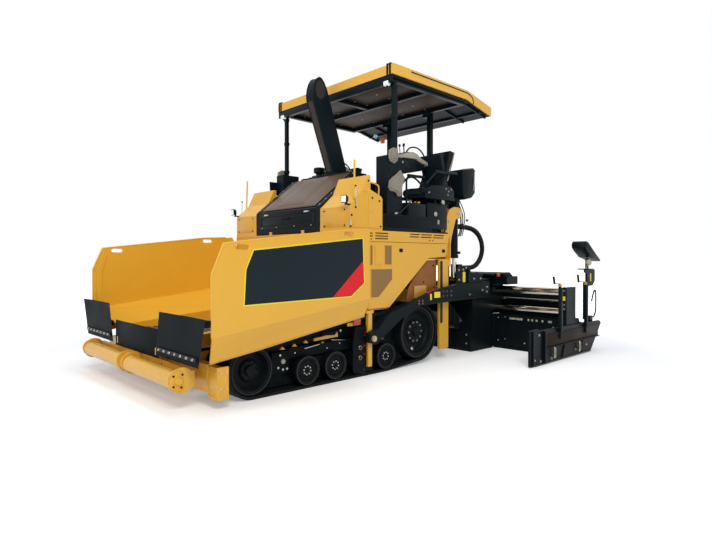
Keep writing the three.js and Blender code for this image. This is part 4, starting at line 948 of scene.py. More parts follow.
# %% [markdown]
# Under the hopper's nose a bent plate and boxes keep spilled mix off the belts. They get weld
# gussets, a folded lip and bolts.
# %% Nose fittings
pair("nose_gussets", [plate([(1.93, 0.3), (2.02, 0.3), (2.02, 0.12)], 1.36, 1.372, edge=0.003),
    block((2.03, 1.245, 0.385), (2.036, 1.395, 0.402), 0.002),
    block((2.0302, 1.25, 0.1), (2.04, 1.392, 0.125), 0.003),
    *[bolt((2.0305, y, z), FORWARD, 0.012) for y in (1.27, 1.37) for z in (0.17, 0.34)]],
    YELLOW_ENAMEL)
pair("nose_side_bolts", [bolt((x, 1.4002, z), OUT, 0.012) for x in (1.94, 2.0)
    for z in (0.2, 0.35)], ZINC)
print("nose fitted")

# %% [markdown]
# The hood is a black steel shell with a moulded brown-grey top cover. The cover is crowned: a
# grid bent up a few millimetres towards its middle, with a raised centre panel and soft long
# highlights. Black strips with bolts hold its sides, and the front carries a stamped recess.
# %% Hood
HOOD_FRONT, HOOD_REAR = (0.246, 2.03), (-0.397, 2.54)


def on_hood(u, y, lift=0.0):
    """The point a share u up the hood's slope, and the slope's normal."""
    front, rear = (Vector((x, y, z)) for x, z in (HOOD_FRONT, HOOD_REAR))
    normal = Vector((rear.z - front.z, 0, front.x - rear.x)).normalized()
    return front.lerp(rear, u) + normal * lift, normal


def hood_cover(half, lift, crown, start, stop):
    shape = bmesh.new()
    bmesh.ops.create_grid(shape, x_segments=20, y_segments=20, size=0.5)
    for vert in shape.verts:
        u, v = vert.co.x + 0.5, vert.co.y + 0.5
        bulge = crown * (1 - (2 * v - 1) ** 4) * (1 - (2 * u - 1) ** 6)
        vert.co = on_hood(start + (stop - start) * u, (2 * v - 1) * half, lift + bulge)[0]
    bmesh.ops.solidify(shape, geom=shape.faces, thickness=0.012)
    bmesh.ops.recalc_face_normals(shape, faces=shape.faces)
    return soften(shape, 0.003, 1)


piece("hood_top_cover", [hood_cover(0.585, 0.016, 0.012, 0.05, 0.985)], HOOD_MOULDING, "hood")
piece("hood_top_rib", [hood_cover(0.3, 0.026, 0.01, 0.12, 0.94)], HOOD_MOULDING, "hood")
pair("hood_strips", [slab([on_hood(0.02, 0.62, 0.001)[0], on_hood(0.02, 0.7, 0.001)[0],
    on_hood(0.99, 0.7, 0.001)[0], on_hood(0.99, 0.62, 0.001)[0]], 0.008, 0.002)], BLACK_POWDER,
    "hood")
pair("hood_strip_bolts", [bolt(on_hood(u, 0.66, 0.009)[0], on_hood(u, 0.66)[1], 0.011)
    for u in (0.07, 0.22, 0.37, 0.52, 0.67, 0.82, 0.95)], ZINC, "hood")
piece("hood_front_frame", [block((0.2457, -0.62, 1.97), (0.2493, 0.62, 2.015), 0.001),
    block((0.2457, -0.62, 1.8), (0.2493, 0.62, 1.835), 0.001),
    *[block((0.2457, y, 1.835), (0.2493, y + 0.05, 1.97), 0.001) for y in (-0.62, 0.57)],
    block((0.2457, -0.55, 1.85), (0.2478, 0.55, 1.955), 0.0006)], BLACK_POWDER, "hood")
piece("hood_front_latches", [part for y in (-0.45, 0.45) for part in (
    block((0.256, y - 0.04, 1.985), (0.268, y + 0.04, 2.005), 0.003),
    bolt((0.256, y + 0.055, 1.995), FORWARD, 0.008))] + [bolt((0.256, y, 1.818), FORWARD, 0.009)
    for y in (-0.55, -0.2, 0.2, 0.55)], ZINC, "hood")
piece("hood_handle", [tube(smooth_path([(0.256, -0.09, 1.93), (0.285, -0.08, 1.93),
    (0.289, 0, 1.93), (0.285, 0.08, 1.93), (0.256, 0.09, 1.93)], 4), 0.007, 8)], BLACK_PLASTIC,
    "hood")
pair("hood_side_louvres", [block((x, 0.7101, 1.82), (x + 0.045, 0.7145, 1.96), 0.002)
    for x in (-0.3, -0.22, -0.14)], BLACK_POWDER, "hood")
print("hood dressed")

# %% [markdown]
# Beside the hood stand two yellow enclosures. Their doors show as thin folds: a raised leaf on
# the side, a pale hinge strip, black cap bolts at the corners, a pressed round dimple, and a
# work lamp on a bracket in front. Raised leaves a few millimetres thick give the fold lines.
# %% Enclosure doors
ENCLOSURE_Y = 1.2451
LEAVES = [
    [(0.236, 1.765), (0.236, 1.995), (0.06, 2.15), (-0.045, 2.15), (-0.045, 1.765)],
    [(-0.06, 1.765), (-0.06, 2.16), (-0.275, 2.14), (-0.295, 2.118), (-0.295, 1.765)],
    [(0.03, 2.205), (-0.062, 2.392), (-0.094, 2.392), (-0.094, 2.225), (-0.04, 2.19)]]


def dimple(x, z, radius):
    return turned([(0, 0.001), (radius * 0.6, 0.0015), (radius * 0.85, 0.005), (radius, 0.006),
        (radius * 1.15, 0.003), (radius * 1.2, -0.001)], (x, ENCLOSURE_Y + 0.006, z), OUT, 28)


pair("enclosure_leaves", [plate(leaf, ENCLOSURE_Y, ENCLOSURE_Y + 0.006, edge=0.003)
    for leaf in LEAVES], YELLOW_ENAMEL)
pair("enclosure_dimples", [dimple(-0.101, 1.984, 0.026), dimple(0.19, 1.8, 0.02)], YELLOW_ENAMEL)
pair("enclosure_hinge", [
    block((0.222, ENCLOSURE_Y + 0.005, 1.775), (0.238, ENCLOSURE_Y + 0.011, 1.862), 0.002),
    tube([(0.151, ENCLOSURE_Y + 0.012, 2.01), (0.151, ENCLOSURE_Y + 0.014, 2.125),
    (0.151, ENCLOSURE_Y + 0.012, 2.24)], 0.006, 8)], ZINC)
pair("enclosure_bolts", side_bolts(ENCLOSURE_Y + 0.006, 0.013,
    [(0.216, 1.905), (0.232, 1.776), (0.151, 2.25), (0.151, 2.0), (-0.06, 2.33), (-0.126, 2.13),
    (-0.25, 2.1), (-0.27, 1.79)]), BLACK_PLASTIC)
pair("enclosure_front_door", [block((0.2462, 0.78, 1.775), (0.252, 1.19, 1.985), 0.003),
    block((0.252, 0.8, 1.8), (0.2555, 1.17, 1.96), 0.002)], YELLOW_ENAMEL)
pair("enclosure_front_bolts", [bolt((0.252, y, z), FORWARD, 0.011) for y in (0.8, 1.17)
    for z in (1.788, 1.972)], BLACK_PLASTIC)
print("enclosures folded")

# %% [markdown]
# A work lamp is a black die-cast shell with a square glass, on a short bent bracket. The shell
# is a softened block that narrows to the rear, and the glass is a separate block set in its
# rim, with fine pressed ribs in the material.
# %% Work lamps
def lamp_shell(centre, ahead, size):
    shape = block((-size, -size, -size * 1.2), (size, size, 0), size * 0.2, 3)
    rear = [v for v in shape.verts if v.co.z < -size * 0.9]
    bmesh.ops.scale(shape, vec=(0.7, 0.7, 1), verts=rear)
    rim = block((-size * 1.05, -size * 1.05, -size * 0.12), (size * 1.05, size * 1.05,
        size * 0.08), size * 0.06)
    whole = gather([shape, rim])
    bmesh.ops.transform(whole, matrix=aim(centre, ahead), verts=whole.verts)
    return whole


def lamp_glass(centre, ahead, size):
    shape = block((-size * 0.86, -size * 0.86, 0), (size * 0.86, size * 0.86, size * 0.16),
        size * 0.05)
    bmesh.ops.transform(shape, matrix=aim(centre, ahead), verts=shape.verts)
    return shape


WORK_LAMP = (0.325, 1.235, 2.085)
LAMP_HEADING = (1, 0.06, -0.06)
pair("work_lamp_shell", [lamp_shell(WORK_LAMP, LAMP_HEADING, 0.043),
    block((0.16, 1.215, 2.02), (0.3, 1.2445, 2.036), 0.004), block((0.272, 1.215, 2.02),
    (0.288, 1.2445, 2.07), 0.003)], BLACK_PLASTIC)
pair("work_lamp_glass", [lamp_glass(WORK_LAMP, LAMP_HEADING, 0.043)], LAMP_CLEAR)
print("work lamps at", WORK_LAMP)

# %% [markdown]
# Yellow rods on both sides show the driver where the hopper ends. The ledge over the hopper
# has a folded edge, and a grab handle stands behind each enclosure.
# %% Marker rods, ledge and handles
piece("marker_rod_near", [bar((0.141, 1.22, 2.12), (0.141, 1.22, 2.56), 0.011, 12),
    block((0.125, 1.205, 2.1), (0.157, 1.2449, 2.16), 0.003)], MARKER_YELLOW)
piece("marker_rod_far", [bar((0.1, -1.22, 2.02), (0.078, -1.22, 2.57), 0.011, 12)],
    MARKER_YELLOW)
piece("ledge_fold", [block((0.2352, -1.235, 1.748), (0.2455, 1.235, 1.7605), 0.003)],
    YELLOW_ENAMEL)
pair("enclosure_handles", [side_tube([(-0.12, 2.232), (-0.12, 2.3), (-0.15, 2.325),
    (-0.26, 2.305), (-0.29, 2.27), (-0.285, 2.165)], 1.2, 0.01)], YELLOW_ENAMEL)
print("rods and handles set")

# %% [markdown]
# The side below the deck is one long yellow cover. Cooling air enters through two groups of
# pressed louvres and perforated windows, and a long seam parts the fixed strip from the doors.
# A louvre is a short hooded lip over a dark slot: the slot is a thin dark sheet of painted
# shade, for the shadow inside the opening, and the hood a softened bar above it.
# %% Side louvres
SIDE_Y = 1.2752
LOUVRES = [(-0.062, -0.108, 1.702), (-0.062, -0.108, 1.669), (-0.155, -0.378, 1.706),
    (-0.155, -0.378, 1.672), (-0.155, -0.378, 1.64), (-0.8, -0.985, 1.712),
    (-1.028, -1.248, 1.712), (-1.285, -1.507, 1.712), (-0.79, -0.975, 1.678),
    (-1.016, -1.237, 1.678), (-1.274, -1.495, 1.678)]
# This dark finish is painted shade for openings: louvre slots, the stack's mouth and the guide's
# slot.
SLOT_PAINTED_SHADE = finish("opening_painted_shade", "17120C", "0E0B08", 0.8, 4, 0.1)
pair("louvre_slots", [block((x1, SIDE_Y, z - 0.007), (x0, SIDE_Y + 0.001, z + 0.007), 0)
    for x0, x1, z in LOUVRES], SLOT_PAINTED_SHADE, slot="black_paint")
pair("louvre_hoods", [block((x1 - 0.004, SIDE_Y, z + 0.006), (x0 + 0.004, SIDE_Y + 0.007,
    z + 0.012), 0.002) for x0, x1, z in LOUVRES], YELLOW_ENAMEL)
pair("side_cover_bolts", side_bolts(SIDE_Y, 0.009, [(-0.085, 1.632), (-1.196, 1.64),
    (-1.261, 1.64), (0.02, 1.7), (0.2, 1.7), (0.02, 1.45), (0.2, 1.45), (0.02, 1.1),
    (0.2, 1.1)]), BLACK_PLASTIC)
print("louvres pressed:", len(LOUVRES))

# %% [markdown]
# Three perforated windows sit in the door, one of them cut to a slant. Each is a sheet of
# punched steel in a shallow frame. A fourth panel between them is solid, with a folded edge.
# They ride on the door, which opens.
# %% Perforated windows
DOOR_Y = 1.2752
WINDOWS = [[(-0.064, 1.554), (-0.103, 1.554), (-0.103, 1.32), (-0.064, 1.32)],
    [(-0.32, 1.558), (-0.442, 1.558), (-0.442, 1.323), (-0.32, 1.323)],
    [(-0.08, 1.265), (-0.451, 1.265), (-0.451, 1.137), (-0.209, 0.928), (-0.08, 0.928)]]
INSET = [(-0.143, 1.549), (-0.279, 1.549), (-0.279, 1.318), (-0.143, 1.318)]


def edge_frame(outline, width, low, high):
    """A thin rim round an outline, as a plate with its middle sunk."""
    shape = plate(outline, low, low + 0.001, edge=0)
    top = max(shape.faces, key=lambda face: face.calc_center_median().y)
    inner = bmesh.ops.inset_region(shape, faces=[top], thickness=width, use_even_offset=True)
    lifted = bmesh.ops.extrude_face_region(shape, geom=inner["faces"])
    verts = [v for v in lifted["geom"] if isinstance(v, bmesh.types.BMVert)]
    bmesh.ops.translate(shape, verts=verts, vec=(0, high - low - 0.001, 0))
    bmesh.ops.recalc_face_normals(shape, faces=shape.faces)
    return shape


pair("door_windows", [plate(w, DOOR_Y, DOOR_Y + 0.0015, edge=0) for w in WINDOWS], GUARD_MESH,
    "service_door_{}")
pair("door_window_frames", [edge_frame(grown(w, 0.009), 0.009, DOOR_Y, DOOR_Y + 0.005)
    for w in WINDOWS], YELLOW_ENAMEL, "service_door_{}")
pair("door_inset_panel", [plate(INSET, DOOR_Y, DOOR_Y + 0.006, edge=0.003),
    plate(grown(INSET, -0.014), DOOR_Y + 0.006, DOOR_Y + 0.009, edge=0.002)], YELLOW_ENAMEL,
    "service_door_{}")
pair("door_lower_fold", [tube([(-0.03, DOOR_Y, 0.795), (-0.39, DOOR_Y, 0.795),
    (-0.404, DOOR_Y, 0.8), (-1.165, DOOR_Y, 1.402), (-1.18, DOOR_Y, 1.408),
    (-1.552, DOOR_Y, 1.424)], 0.006, 8)], YELLOW_ENAMEL, "service_door_{}")
pair("door_latches", [part for x, z in ((-1.5, 1.5), (-0.62, 1.5))
    for part in (block((x - 0.032, DOOR_Y, z - 0.022), (x + 0.032, DOOR_Y + 0.007, z + 0.022),
    0.004), block((x - 0.022, DOOR_Y + 0.007, z - 0.01), (x + 0.016, DOOR_Y + 0.016, z + 0.01),
    0.003))], BLACK_PLASTIC, "service_door_{}")
print("windows framed:", len(WINDOWS))

# %% [markdown]
# The exhaust stack is a black rectangular duct that leans forward and ends in a rounded mouth.
# Plates with flanged edges give it bright edge lines. Its front face carries a brown sheet whose
# lighter tone is a painted highlight, for the light on that face. The outline follows the
# frame's own, with a rounder tip, so it replaces that solid.
# %% Exhaust stack
STACK = [(-0.717, 2.561), (-0.452, 2.561), (-0.084, 3.548), (-0.076, 3.62), (-0.088, 3.7),
    (-0.115, 3.78), (-0.155, 3.842), (-0.195, 3.868), (-0.235, 3.856), (-0.28, 3.81),
    (-0.322, 3.73), (-0.352, 3.66), (-0.368, 3.607)]
# The stack's brown front sheet: its lighter tone is a painted highlight.
STACK_FRONT_HIGHLIGHT = finish("stack_front_painted_highlight", "3A2A1E", "241B15", 0.4, 2, 0.08, patch_mm=180,
    glint=0.2)
piece("stack_duct", [plate(STACK, 0.03, 0.17, edge=0.012, segments=3),
    *[tube([(x, y, z) for x, z in STACK[1:] + STACK[:1]], 0.0075, 6) for y in (0.034, 0.166)]],
    BLACK_POWDER, replaces=["exhaust_stack"])
piece("stack_front_highlight", [slab([(-0.432, 0.05, 2.62), (-0.432, 0.15, 2.62),
    (-0.093, 0.15, 3.53), (-0.093, 0.05, 3.53)], 0.007, 0.002)], STACK_FRONT_HIGHLIGHT)
piece("stack_foot", [block((-0.75, -0.01, 2.5605), (-0.42, 0.21, 2.585), 0.006),
    *[bolt((x, y, 2.585), UP, 0.012) for x in (-0.73, -0.44) for y in (0.01, 0.19)]], BLACK_POWDER)
# The mouth is a dark oval sheet of painted shade, for the inside of the pipe.
MOUTH = [(-0.212 + 0.085 * math.cos(math.tau * k / 16), 3.7 + 0.125 * math.sin(math.tau * k / 16))
    for k in range(16)]
piece("stack_mouth", [plate(MOUTH, 0.168, 0.1715, edge=0.001)], SLOT_PAINTED_SHADE)
print("stack mouth", len(MOUTH), "sided")

# %% [markdown]
# Between hood and canopy stand the engine cowl's top plates, its side grille of punched sheet
# and the air intake's mushroom. They fill the view under the canopy from the front.
# %% Engine cowl fittings
piece("cowl_top_plate", [block((-0.755, -0.515, 2.5605), (-0.41, -0.06, 2.572), 0.004),
    block((-0.755, 0.215, 2.5605), (-0.41, 0.515, 2.572), 0.004),
    *[bolt((x, y, 2.572), UP, 0.011) for x in (-0.73, -0.43) for y in (-0.48, -0.1, 0.25, 0.48)]],
    BLACK_POWDER)
pair("cowl_side_grille", [block((-0.72, 0.5205, 1.95), (-0.45, 0.523, 2.45), 0)], GRILLE_MESH)
piece("air_intake", [turned([(0, 0.16), (0.075, 0.16), (0.085, 0.15), (0.085, 0.09), (0.06, 0.08),
    (0.05, 0.07), (0.05, 0), (0.062, 0)], (-0.58, -0.3, 2.572), UP, 28)], BLACK_PLASTIC)
piece("front_shield_far", [plate([(-0.317, 2.6), (-0.6, 2.6), (-0.335, 2.25)], -1.215,
    -1.203, edge=0.003), bar((-0.34, -1.209, 2.25), (-0.34, -1.209, 2.1), 0.012, 10)],
    BLACK_POWDER)
print("cowl fitted")

# %% [markdown]
# The canopy is a yellow moulded shell on a black steel frame. Underneath, brown lining board
# fills the bays between the beams, and a black tray hides the rear. Rails, clips and a beam
# between the bays are laid on it as small separate bars.
# %% Canopy underside
ROOF_UNDER = 3.7258
piece("canopy_lining", [block((-1.268, -1.128, ROOF_UNDER - 0.014), (-0.592, 1.128, ROOF_UNDER),
    0.004), block((-2.06, -1.128, ROOF_UNDER - 0.014), (-1.332, 1.128, ROOF_UNDER), 0.004)],
    LINING_BOARD)
piece("canopy_rear_tray", [slab([(-2.126, -1.218, 3.7245), (-2.735, -1.218, 3.5988),
    (-2.735, 1.218, 3.5988), (-2.126, 1.218, 3.7245)], 0.006, 0.002),
    *[slab([(-2.14, y - 0.014, 3.7185), (-2.72, y - 0.014, 3.599), (-2.72, y + 0.014, 3.599),
    (-2.14, y + 0.014, 3.7185)], 0.03, 0.003) for y in (-1.15, -0.75, 0.75, 1.15)],
    block((-2.56, -1.2, 3.615), (-2.5, 1.2, 3.64), 0.004)], BLACK_POWDER)
piece("canopy_edge_band", [block((-0.522, -1.225, 3.628), (-0.504, 1.225, ROOF_UNDER), 0.003),
    block((-0.56, -1.225, 3.624), (-0.504, 1.225, 3.634), 0.002),
    *[block((-2.62, low, 3.69), (-0.504, high, ROOF_UNDER), 0.003)
    for low, high in ((1.198, 1.216), (-1.216, -1.198))]], BLACK_POWDER)
piece("canopy_mid_beam", [block((-1.262, -0.036, 3.66), (-0.598, 0.036, ROOF_UNDER - 0.014),
    0.005), *[bolt((x, y, 3.655), -UP, 0.01) for x in (-1.24, -0.62) for y in (-0.02, 0.02)]],
    BLACK_POWDER)
piece("canopy_front_rail", [tube([(-0.575, y, 3.64) for y in (-1.12, -0.6, 0.0, 0.6, 1.12)],
    0.012, 8), *[block((-0.6, y - 0.012, 3.632), (-0.55, y + 0.012, 3.66), 0.002)
    for y in (-0.95, -0.5, 0.0, 0.5, 0.95)]], WORN_STEEL)
piece("canopy_clips", [bolt((x, y, 3.7), -UP, 0.011)
    for x in (-0.68, -0.92, -1.18, -1.42, -1.7, -1.98)
    for y in (-1.08, -0.55, 0.1, 0.55, 1.08)], ZINC)
print("canopy underside lined")

# %% [markdown]
# A pressed groove runs along each side of the shell and turns down at the rear. Its shade
# reads as a dark line, painted as a thin black bead let into the side. Black straps cross the
# fascia at the front corners, white lamps hang below them, and an amber beacon hangs at the rear.
# %% Canopy fascia
ROOF_SIDE = 1.2373
GROOVE = [(-0.86, 3.825), (-1.6, 3.825), (-2.05, 3.822), (-2.16, 3.812), (-2.235, 3.785),
    (-2.27, 3.735), (-2.275, 3.69)]
# The groove's shade is painted as a black bead.
pair("canopy_groove_shade_line", [side_tube(GROOVE, ROOF_SIDE, 0.0085, 6, 6)], BLACK_PLASTIC)
pair("canopy_corner_straps", [part for y in (1.15, 1.195) for part in (
    block((-0.5, y - 0.015, 3.722), (-0.492, y + 0.015, 3.866), 0.003),
    block((-0.545, y - 0.015, 3.8605), (-0.492, y + 0.015, 3.868), 0.003))], BLACK_PLASTIC)
pair("canopy_corner_lamps", [block((-0.545, 1.08, 3.598), (-0.495, 1.16, 3.6555), 0.006),
    block((-0.495, 1.087, 3.605), (-0.489, 1.153, 3.649), 0.003)], LAMP_CLEAR)
pair("canopy_lamp_brackets", [block((-0.56, 1.055, 3.655), (-0.498, 1.185, 3.668), 0.003),
    block((-0.535, 1.11, 3.583), (-0.515, 1.13, 3.6), 0.002)], BLACK_PLASTIC)
piece("beacon", [turned([(0, 0), (0.045, 0), (0.048, 0.012), (0.045, 0.07), (0.03, 0.09),
    (0, 0.094)], (-2.6, -0.937, 3.585), -UP, 24)], LAMP_AMBER)
piece("roof_lamp_cold", [lamp_glass((-2.3, -0.824, 3.56), (0.8, 0.5, -0.2), 0.04)], LAMP_BLUE)
piece("roof_lamp_cold_shell", [lamp_shell((-2.3, -0.824, 3.56), (0.8, 0.5, -0.2), 0.04)],
    BLACK_PLASTIC)
piece("canopy_rib_lines", [block((x - 0.006, -1.16, 3.8602), (x + 0.006, 1.16, 3.8635), 0.002)
    for x in (-0.9, -1.3, -1.7, -2.05)], CANOPY_GELCOAT)
print("canopy fascia drawn")

# %% [markdown]
# The posts carry clamps and a cable. The near column is a folded box with two grey moulded
# covers: one long and stepped, one round headed with a boss for the folding joint. Each cover
# is a plate with soft edges and a smaller plate over it.
# %% Column covers
LOWER_COVER = [(-0.473, 2.376), (-0.534, 2.429), (-0.603, 2.473), (-0.68, 2.534), (-0.722, 2.487),
    (-0.765, 2.434), (-0.73, 2.374), (-0.709, 2.306), (-0.695, 2.201), (-0.638, 2.192),
    (-0.596, 2.24), (-0.487, 2.253), (-0.459, 2.292)]
UPPER_COVER = [(-0.473, 2.766), (-0.541, 2.803), (-0.624, 2.806), (-0.639, 2.723), (-0.625, 2.647),
    (-0.562, 2.602), (-0.494, 2.621), (-0.467, 2.663)]
COVER_Y = 1.1905


def stepped_cover(outline):
    return [plate(outline, COVER_Y, COVER_Y + 0.03, edge=0.008, segments=3),
        plate(grown(outline, -0.022), COVER_Y + 0.03, COVER_Y + 0.042, edge=0.006, segments=2)]


pair("column_lower_cover", stepped_cover(LOWER_COVER), COLUMN_ABS)
pair("column_upper_cover", stepped_cover(UPPER_COVER) + [turned(
    [(0, 0), (0.045, 0), (0.045, 0.012), (0.038, 0.02), (0.026, 0.02), (0.022, 0.012), (0, 0.012)],
    (-0.562, COVER_Y + 0.04, 2.7), OUT, 28)], COLUMN_ABS)
pair("column_bolts", side_bolts(COVER_Y, 0.012, [(-0.47, 2.15), (-0.7, 2.1), (-0.47, 1.86),
    (-0.7, 1.86), (-0.66, 2.58), (-0.5, 2.52)]), BLACK_PLASTIC)
pair("column_fold_lines", [block((-0.452, COVER_Y, 1.8), (-0.446, COVER_Y + 0.005, 2.36), 0.002),
    block((-0.735, COVER_Y, 1.8), (-0.729, COVER_Y + 0.005, 2.18), 0.002)], BLACK_POWDER)
pair("post_clamps", [block((-0.648, 1.128, z), (-0.582, 1.192, z + 0.05), 0.006)
    for z in (2.75, 3.2, 3.58)], BLACK_PLASTIC)
pair("post_cables", [tube([(-0.655, 1.175, 2.72), (-0.655, 1.176, 3.1), (-0.654, 1.175, 3.64)],
    0.006, 6)], CABLE_PVC)
print("columns covered")

# %% [markdown]
# Each driver has a console on an arm: a pale moulded desk that is thin and swept back, over a
# dark underside, with a black joint. Levers, knobs and a display stand on the desk. The desk's
# outline is extruded sideways with wide soft edges, as the moulding has.
# %% Operator consoles
DESK = [(-1.1, 2.792), (-1.115, 2.84), (-1.154, 2.868), (-1.294, 2.897), (-1.39, 2.88),
    (-1.455, 2.838), (-1.706, 2.762), (-1.7, 2.718), (-1.423, 2.777), (-1.358, 2.805)]
DESK_UNDER = [(-1.105, 2.79), (-1.358, 2.803), (-1.59, 2.724), (-1.672, 2.7), (-1.571, 2.669),
    (-1.17, 2.583)]
JOINT = [(-0.927, 2.652), (-0.994, 2.74), (-1.054, 2.738), (-1.131, 2.647), (-1.024, 2.555),
    (-0.935, 2.59)]


def console_levers():
    levers = []
    for i, (x, y) in enumerate([(-1.2, 0.66), (-1.2, 0.74), (-1.2, 0.82), (-1.33, 0.7)]):
        top = (x + 0.01, y, 2.975 if i < 3 else 3.0)
        levers.append(bar((x, y, 2.88), top, 0.006, 8))
        levers.append(turned([(0, 0), (0.014, 0.004), (0.018, 0.02), (0.014, 0.036), (0, 0.042)],
            top, (0.05, 0, 1), 14))
    return levers


pair("console_desk", [plate(DESK, 0.575, 0.905, edge=0.012, segments=3)], CONSOLE_ABS,
    replaces=["console_{}"])
pair("console_under", [plate(DESK_UNDER, 0.6, 0.885, edge=0.012, segments=2)], BLACK_PLASTIC)
pair("console_joint", [plate(JOINT, 0.69, 0.99, edge=0.01, segments=2),
    block((-1.06, 0.7, 1.7625), (-0.98, 0.78, 2.62), 0.008),
    *side_bolts(0.99, 0.014, [(-0.985, 2.69), (-1.06, 2.63)])], BLACK_PLASTIC)
pair("console_knob_light", [turned([(0, 0), (0.015, 0), (0.017, 0.01), (0, 0.014)],
    (-0.96, 0.992, 2.7), OUT, 16)], CONSOLE_ABS)
pair("console_levers", console_levers(), BLACK_PLASTIC)
pair("console_display", [slab([(-1.24, 0.64, 2.902), (-1.36, 0.64, 2.905), (-1.36, 0.84, 2.905),
    (-1.24, 0.84, 2.902)], 0.012, 0.003)], BLACK_PLASTIC)
pair("console_cable_arch", [side_tube([(-1.26, 2.885), (-1.285, 2.93), (-1.34, 2.972),
    (-1.42, 2.994), (-1.52, 2.99), (-1.6, 2.952), (-1.655, 2.9), (-1.69, 2.8), (-1.695, 2.75)],
    0.8, 0.011)], CABLE_PVC)
print("consoles built")

# %% [markdown]
# The seats are foam under black vinyl. A pad is filled and its cover is tight, so a cloth
# simulation blows a closed box up against its seams: pressure from inside, no gravity, and the
# rim held. The result is applied, so the pad is plain mesh afterwards.
# %% Seat pads
PAD_ROUNDING, VOXEL, SEAM_BAND, PRESSURE, FILL_FRAMES = 0.045, 0.014, 0.006, 4, 20


def stuffed(name, low, high, tilt, place, cap):
    """A pad of the given box, filled by a short cloth simulation and put in place."""
    shape = block(low, high, PAD_ROUNDING, 3)
    mesh = bpy.data.meshes.new(name)
    shape.to_mesh(mesh)
    shape.free()
    pad = bpy.data.objects.new(name, mesh)
    bpy.context.scene.collection.objects.link(pad)
    bpy.context.view_layer.objects.active = pad
    remesh = pad.modifiers.new("even", "REMESH")
    remesh.mode = "VOXEL"
    remesh.voxel_size = VOXEL
    bpy.ops.object.modifier_apply(modifier="even")
    flat = [vertex.co.copy() for vertex in pad.data.vertices]
    held = pad.vertex_groups.new(name="seam")
    seam = [v.index for v in pad.data.vertices if abs(v.co.z - low[2]) < SEAM_BAND]
    held.add(seam, 1.0, "REPLACE")
    cloth = pad.modifiers.new("fill", "CLOTH")
    cloth.settings.use_pressure = True
    cloth.settings.uniform_pressure_force = PRESSURE
    cloth.settings.effector_weights.gravity = 0
    cloth.settings.vertex_group_mass = "seam"
    cloth.settings.quality = 4
    cloth.point_cache.frame_start, cloth.point_cache.frame_end = 1, FILL_FRAMES
    for step in range(1, FILL_FRAMES + 1):
        bpy.context.scene.frame_set(step)
    bpy.ops.object.modifier_apply(modifier="fill")
    bpy.context.scene.frame_set(1)
    for vertex, start in zip(pad.data.vertices, flat):
        move = vertex.co - start
        if move.length > cap:
            vertex.co = start + move.normalized() * cap
    smooth = pad.modifiers.new("relax", "SMOOTH")
    smooth.factor, smooth.iterations = 0.5, 2
    bpy.ops.object.modifier_apply(modifier="relax")
    result = bmesh.new()
    result.from_mesh(pad.data)
    bpy.data.objects.remove(pad)
    turn = Matrix.Translation(place) @ Matrix.Rotation(math.radians(tilt), 4, "Y")
    bmesh.ops.transform(result, matrix=turn, verts=result.verts)
    return result


for side in ("left", "right"):
    for name, size, tilt, place, nodes in (
            ("seat_cushion", ((-0.235, -0.225, -0.05), (0.235, 0.225, 0.045)), -3,
             (-1.445, 0.96, 2.305), [f"seat_{side}"]),
            ("seat_back", ((-0.285, -0.215, -0.045), (0.285, 0.215, 0.035)), -74,
             (-1.7, 0.96, 2.635), [])):
        pad = stuffed(name, *size, tilt, place, 0.022)
        piece(f"{name}_{side}", [other_side(pad) if side == "right" else pad],
            SEAT_VINYL, replaces=nodes)
print("seat pads filled")

# %% [markdown]
# Under and round the pads stand the seat's shell, its armrests with a strut, a suspension
# bellows and side switches. The back has a shell with a beige rim that catches light. Behind it
# sits a black box for tools, also edged in beige, on its own bracket.
# %% Seat shell and arm rests
BACK_SHELL = [(-1.56, 2.345), (-1.64, 2.345), (-1.72, 2.52), (-1.885, 2.905), (-1.868, 2.935),
    (-1.8, 2.945), (-1.77, 2.925), (-1.7, 2.66)]


def arm_rest(y):
    return [side_tube([(-1.4, 2.6), (-1.6, 2.604), (-1.8, 2.612), (-1.9, 2.618)], y, 0.022,
        10, 4), tube([(-1.42, y, 2.59), (-1.31, y, 2.5), (-1.2, y, 2.405)], 0.014, 8)]


def bellows():
    outline = [(0, 0)]
    for fold in range(5):
        outline += [(0.15, 0.004 + fold * 0.018), (0.165, 0.012 + fold * 0.018)]
    outline += [(0.15, 0.094), (0, 0.094)]
    return turned(outline, (-1.445, 0.96, 2.155), UP, 28)


pair("seat_back_shell", [plate(BACK_SHELL, 0.748, 1.172, edge=0.012, segments=2)], BLACK_PLASTIC)
pair("seat_back_rim", [tube(smooth_path([(-1.72, 1.178, 2.5), (-1.8, 1.178, 2.7),
    (-1.868, 1.178, 2.89), (-1.872, 1.16, 2.925), (-1.872, 0.96, 2.94), (-1.872, 0.76, 2.925),
    (-1.868, 0.742, 2.89), (-1.8, 0.742, 2.7)], 4), 0.01, 6)], COLUMN_ABS)
pair("seat_arm_rests", arm_rest(0.715) + arm_rest(1.205), BLACK_PLASTIC)
pair("seat_side_shields", [plate([(-1.2, 2.262), (-1.22, 2.345), (-1.33, 2.402), (-1.6, 2.425),
    (-1.8, 2.422), (-1.86, 2.36), (-1.86, 2.262)], 1.172, 1.198, edge=0.01, segments=2),
    block((-1.88, 0.74, 2.225), (-1.2, 1.198, 2.262), 0.006)], BLACK_PLASTIC)
pair("seat_switches", side_bolts(1.198, 0.012, [(-1.66, 2.38), (-1.72, 2.35), (-1.7, 2.3),
    (-1.78, 2.38), (-1.28, 2.3)]), ZINC)
pair("seat_bellows", [bellows()], SHEET_RUBBER)
TOOL_BOX = [(-2.03, 2.7), (-2.3, 2.74), (-2.355, 2.7), (-2.36, 2.38), (-2.27, 2.3),
    (-2.1, 2.262), (-2.05, 2.33)]
